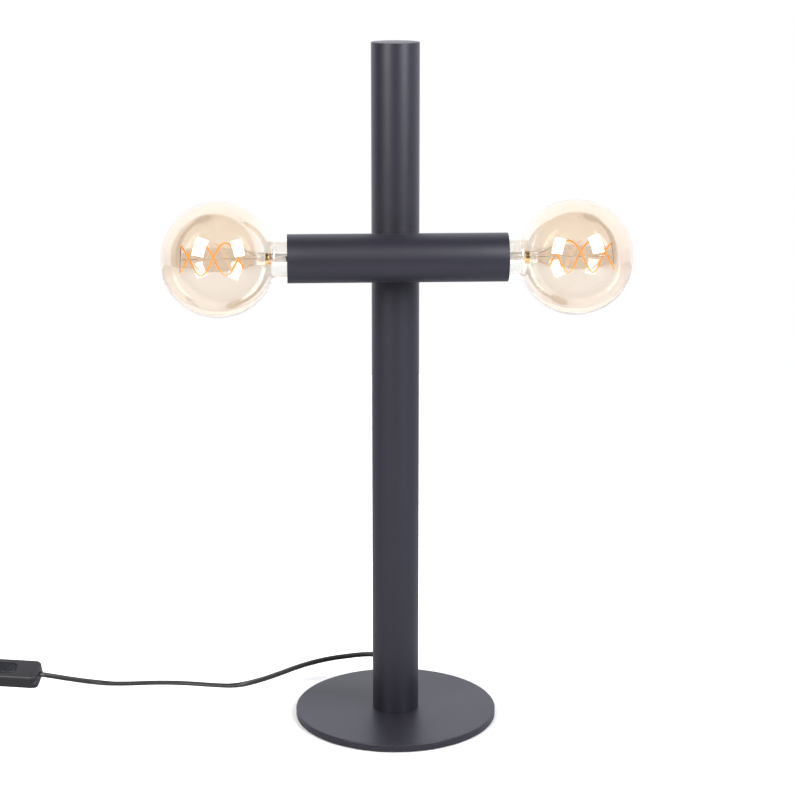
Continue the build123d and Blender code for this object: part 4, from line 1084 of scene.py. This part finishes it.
class LAMP_OT_switch(bpy.types.Operator):
    """Round off the switch's halves and dress its rocker, pin, contacts and screws"""

    bl_idname = "lamp.switch"
    bl_label = "Cord switch"

    def execute(self, context):
        form = switch_form()
        for node, shell in SWITCH_SHELLS.items():
            settle(cut_to(shell, node, form), "lamp", "black_plastic", node)
        bpy.data.objects.remove(form)
        dress("black_plastic", "rocker_pin")
        dress("rocker_plastic", "switch_rocker", crease=25)
        dress("contact_brass", "switch_contacts", "rocker_bridge")
        dress("zinc_steel", "switch_screws")
        return {"FINISHED"}


class LAMP_OT_plug(bpy.types.Operator):
    """Dress the flat plug and the tie round the coil"""

    bl_idname = "lamp.plug"
    bl_label = "Plug and tie"

    def execute(self, context):
        dress("black_plastic", "plug_body", "plug_sleeves", "coil_tie")
        dress("pin_metal", "plug_pins")
        return {"FINISHED"}


def studio_floor(studio):
    """White slab under and behind the lamp, brighter far from it."""
    left, right, front, back = -2.5, 2.5, -1.65, 1.3
    deep = 0.02
    corners = [(left, front), (right, front), (right, back), (left, back)]
    floor = skin("studio_floor", [[(x, y, z) for x, y in corners] for z in (-deep, 0.0)])
    material = bpy.data.materials.new("studio floor")
    material.use_nodes = True
    shader = Shader(material.node_tree)
    place = shader.place()
    away = shader.add("VectorMath", {"operation": "LENGTH"}, {0: place}).outputs["Value"]
    seen = shader.seen()
    shade_ends, glow_full = 0.07, 0.19
    fade = shader.ease(away, shade_ends, glow_full) * seen
    grain = shader.noise(place, 500.0, 1.0)
    bounce, colour = tuple(studio.floor_bounce), tuple(studio.floor_colour)
    shader.surface({
        "Base Color": shader.blend(seen - grain * 0.01, bounce, colour),
        "Roughness": grain * 0.1 + 0.6, "Emission Strength": studio.floor_glow,
        "Emission Color": shader.blend(fade, (0.0, 0.0, 0.0), (1.0, 1.0, 1.0))})
    floor.data.materials.append(material)


def softbox(studio, side):
    """One softbox to the side of the camera, aimed at the lamp: the left a little warm, the right cool."""
    light = bpy.data.lights.new("softbox", "AREA")
    light.shape = "RECTANGLE"
    light.size, light.size_y = studio.softbox_width, studio.softbox_height
    light.energy = studio.softbox_power * (studio.softbox_balance if side < 0 else 1.0)
    warm, cool = (1.0, 0.975, 0.93), (0.95, 0.97, 1.0)
    light.color = warm if side < 0 else cool
    target = Vector((0.0, ARM_Y, ARM_Z))
    heading = -math.pi / 2 + side * studio.softbox_azimuth
    level = math.cos(studio.softbox_elevation)
    height = math.sin(studio.softbox_elevation)
    way = Vector((level * math.cos(heading), level * math.sin(heading), height))
    lamp = bpy.data.objects.new("softbox", light)
    lamp.location = target + way * studio.softbox_distance
    lamp.rotation_euler = way.to_track_quat("Z", "Y").to_euler()
    lamp.visible_camera = False
    bpy.context.scene.collection.objects.link(lamp)


def studio_world(studio):
    """White behind everything that the camera sees; for the lamp, a bright backdrop in a dim room."""
    world = bpy.data.worlds.new("studio")
    world.use_nodes = True
    bpy.context.scene.world = world
    shader = Shader(world.node_tree)
    way = shader.add("TexCoord").outputs["Generated"]
    to_backdrop = (0.2, 1.0, -0.3)
    room_until, backdrop_from = -0.05, 0.13
    lean = shader.add("VectorMath", {"operation": "DOT_PRODUCT"}, {0: way, 1: to_backdrop})
    behind = shader.ease(lean.outputs["Value"], room_until, backdrop_from)
    path = shader.add("LightPath").outputs
    seen = Signal(shader, path["Is Camera Ray"])
    through = Signal(shader, path["Is Transmission Ray"])
    backdrop = studio.backdrop_glow - through * (studio.backdrop_glow - studio.glass_glow)
    glow = behind * (backdrop - studio.room_glow) + studio.room_glow
    strength = seen + (1.0 - seen) * glow
    cool, white = (0.91, 0.92, 1.0), (1.0, 1.0, 1.0)
    colour = shader.blend(shader.seen(), cool, white)
    background = shader.add("Background", None, {"Color": colour, "Strength": strength})
    shader.add("OutputWorld", None, {"Surface": background.outputs[0]})


class LAMP_OT_studio(bpy.types.Operator):
    """Set up the white studio: floor, two softboxes and backdrop"""

    bl_idname = "lamp.studio"
    bl_label = "Studio"

    def execute(self, context):
        studio = context.scene.lamp_studio
        studio_floor(studio)
        for side in (-1, 1):
            softbox(studio, side)
        studio_world(studio)
        context.scene.view_settings.view_transform = "Standard"
        return {"FINISHED"}


OPERATORS = (
    LAMP_OT_camera, LAMP_OT_switch, LAMP_OT_cords, LAMP_OT_base, LAMP_OT_post, LAMP_OT_arm, LAMP_OT_holders,
    LAMP_OT_bulbs, LAMP_OT_relief, LAMP_OT_plug, LAMP_OT_studio)


class LAMP_PT_panel(bpy.types.Panel):
    """Lists the lamp's sizes, finishes, light and build steps"""

    bl_idname = "LAMP_PT_panel"
    bl_label = "Twin globe table lamp"
    bl_space_type = "VIEW_3D"
    bl_region_type = "UI"
    bl_category = "Lamp"

    def draw(self, context):
        for group in (context.scene.lamp_sizes, context.scene.lamp_finishes, context.scene.lamp_studio):
            column = self.layout.column()
            for name in group.__annotations__:
                column.prop(group, name)
        for operator in OPERATORS:
            self.layout.operator(operator.bl_idname)


CLASSES = (LampSizes, LampFinishes, LampStudio, *OPERATORS, LAMP_PT_panel)


def register():
    for cls in CLASSES:
        bpy.utils.register_class(cls)
    bpy.types.Scene.lamp_sizes = PointerProperty(type=LampSizes)
    bpy.types.Scene.lamp_finishes = PointerProperty(type=LampFinishes)
    bpy.types.Scene.lamp_studio = PointerProperty(type=LampStudio)


def unregister():
    del bpy.types.Scene.lamp_studio
    del bpy.types.Scene.lamp_finishes
    del bpy.types.Scene.lamp_sizes
    for cls in reversed(CLASSES):
        bpy.utils.unregister_class(cls)


def main():
    register()
    for operator in OPERATORS:
        group, name = operator.bl_idname.split(".")
        getattr(getattr(bpy.ops, group), name)()


if __name__ == "__main__":
    main()
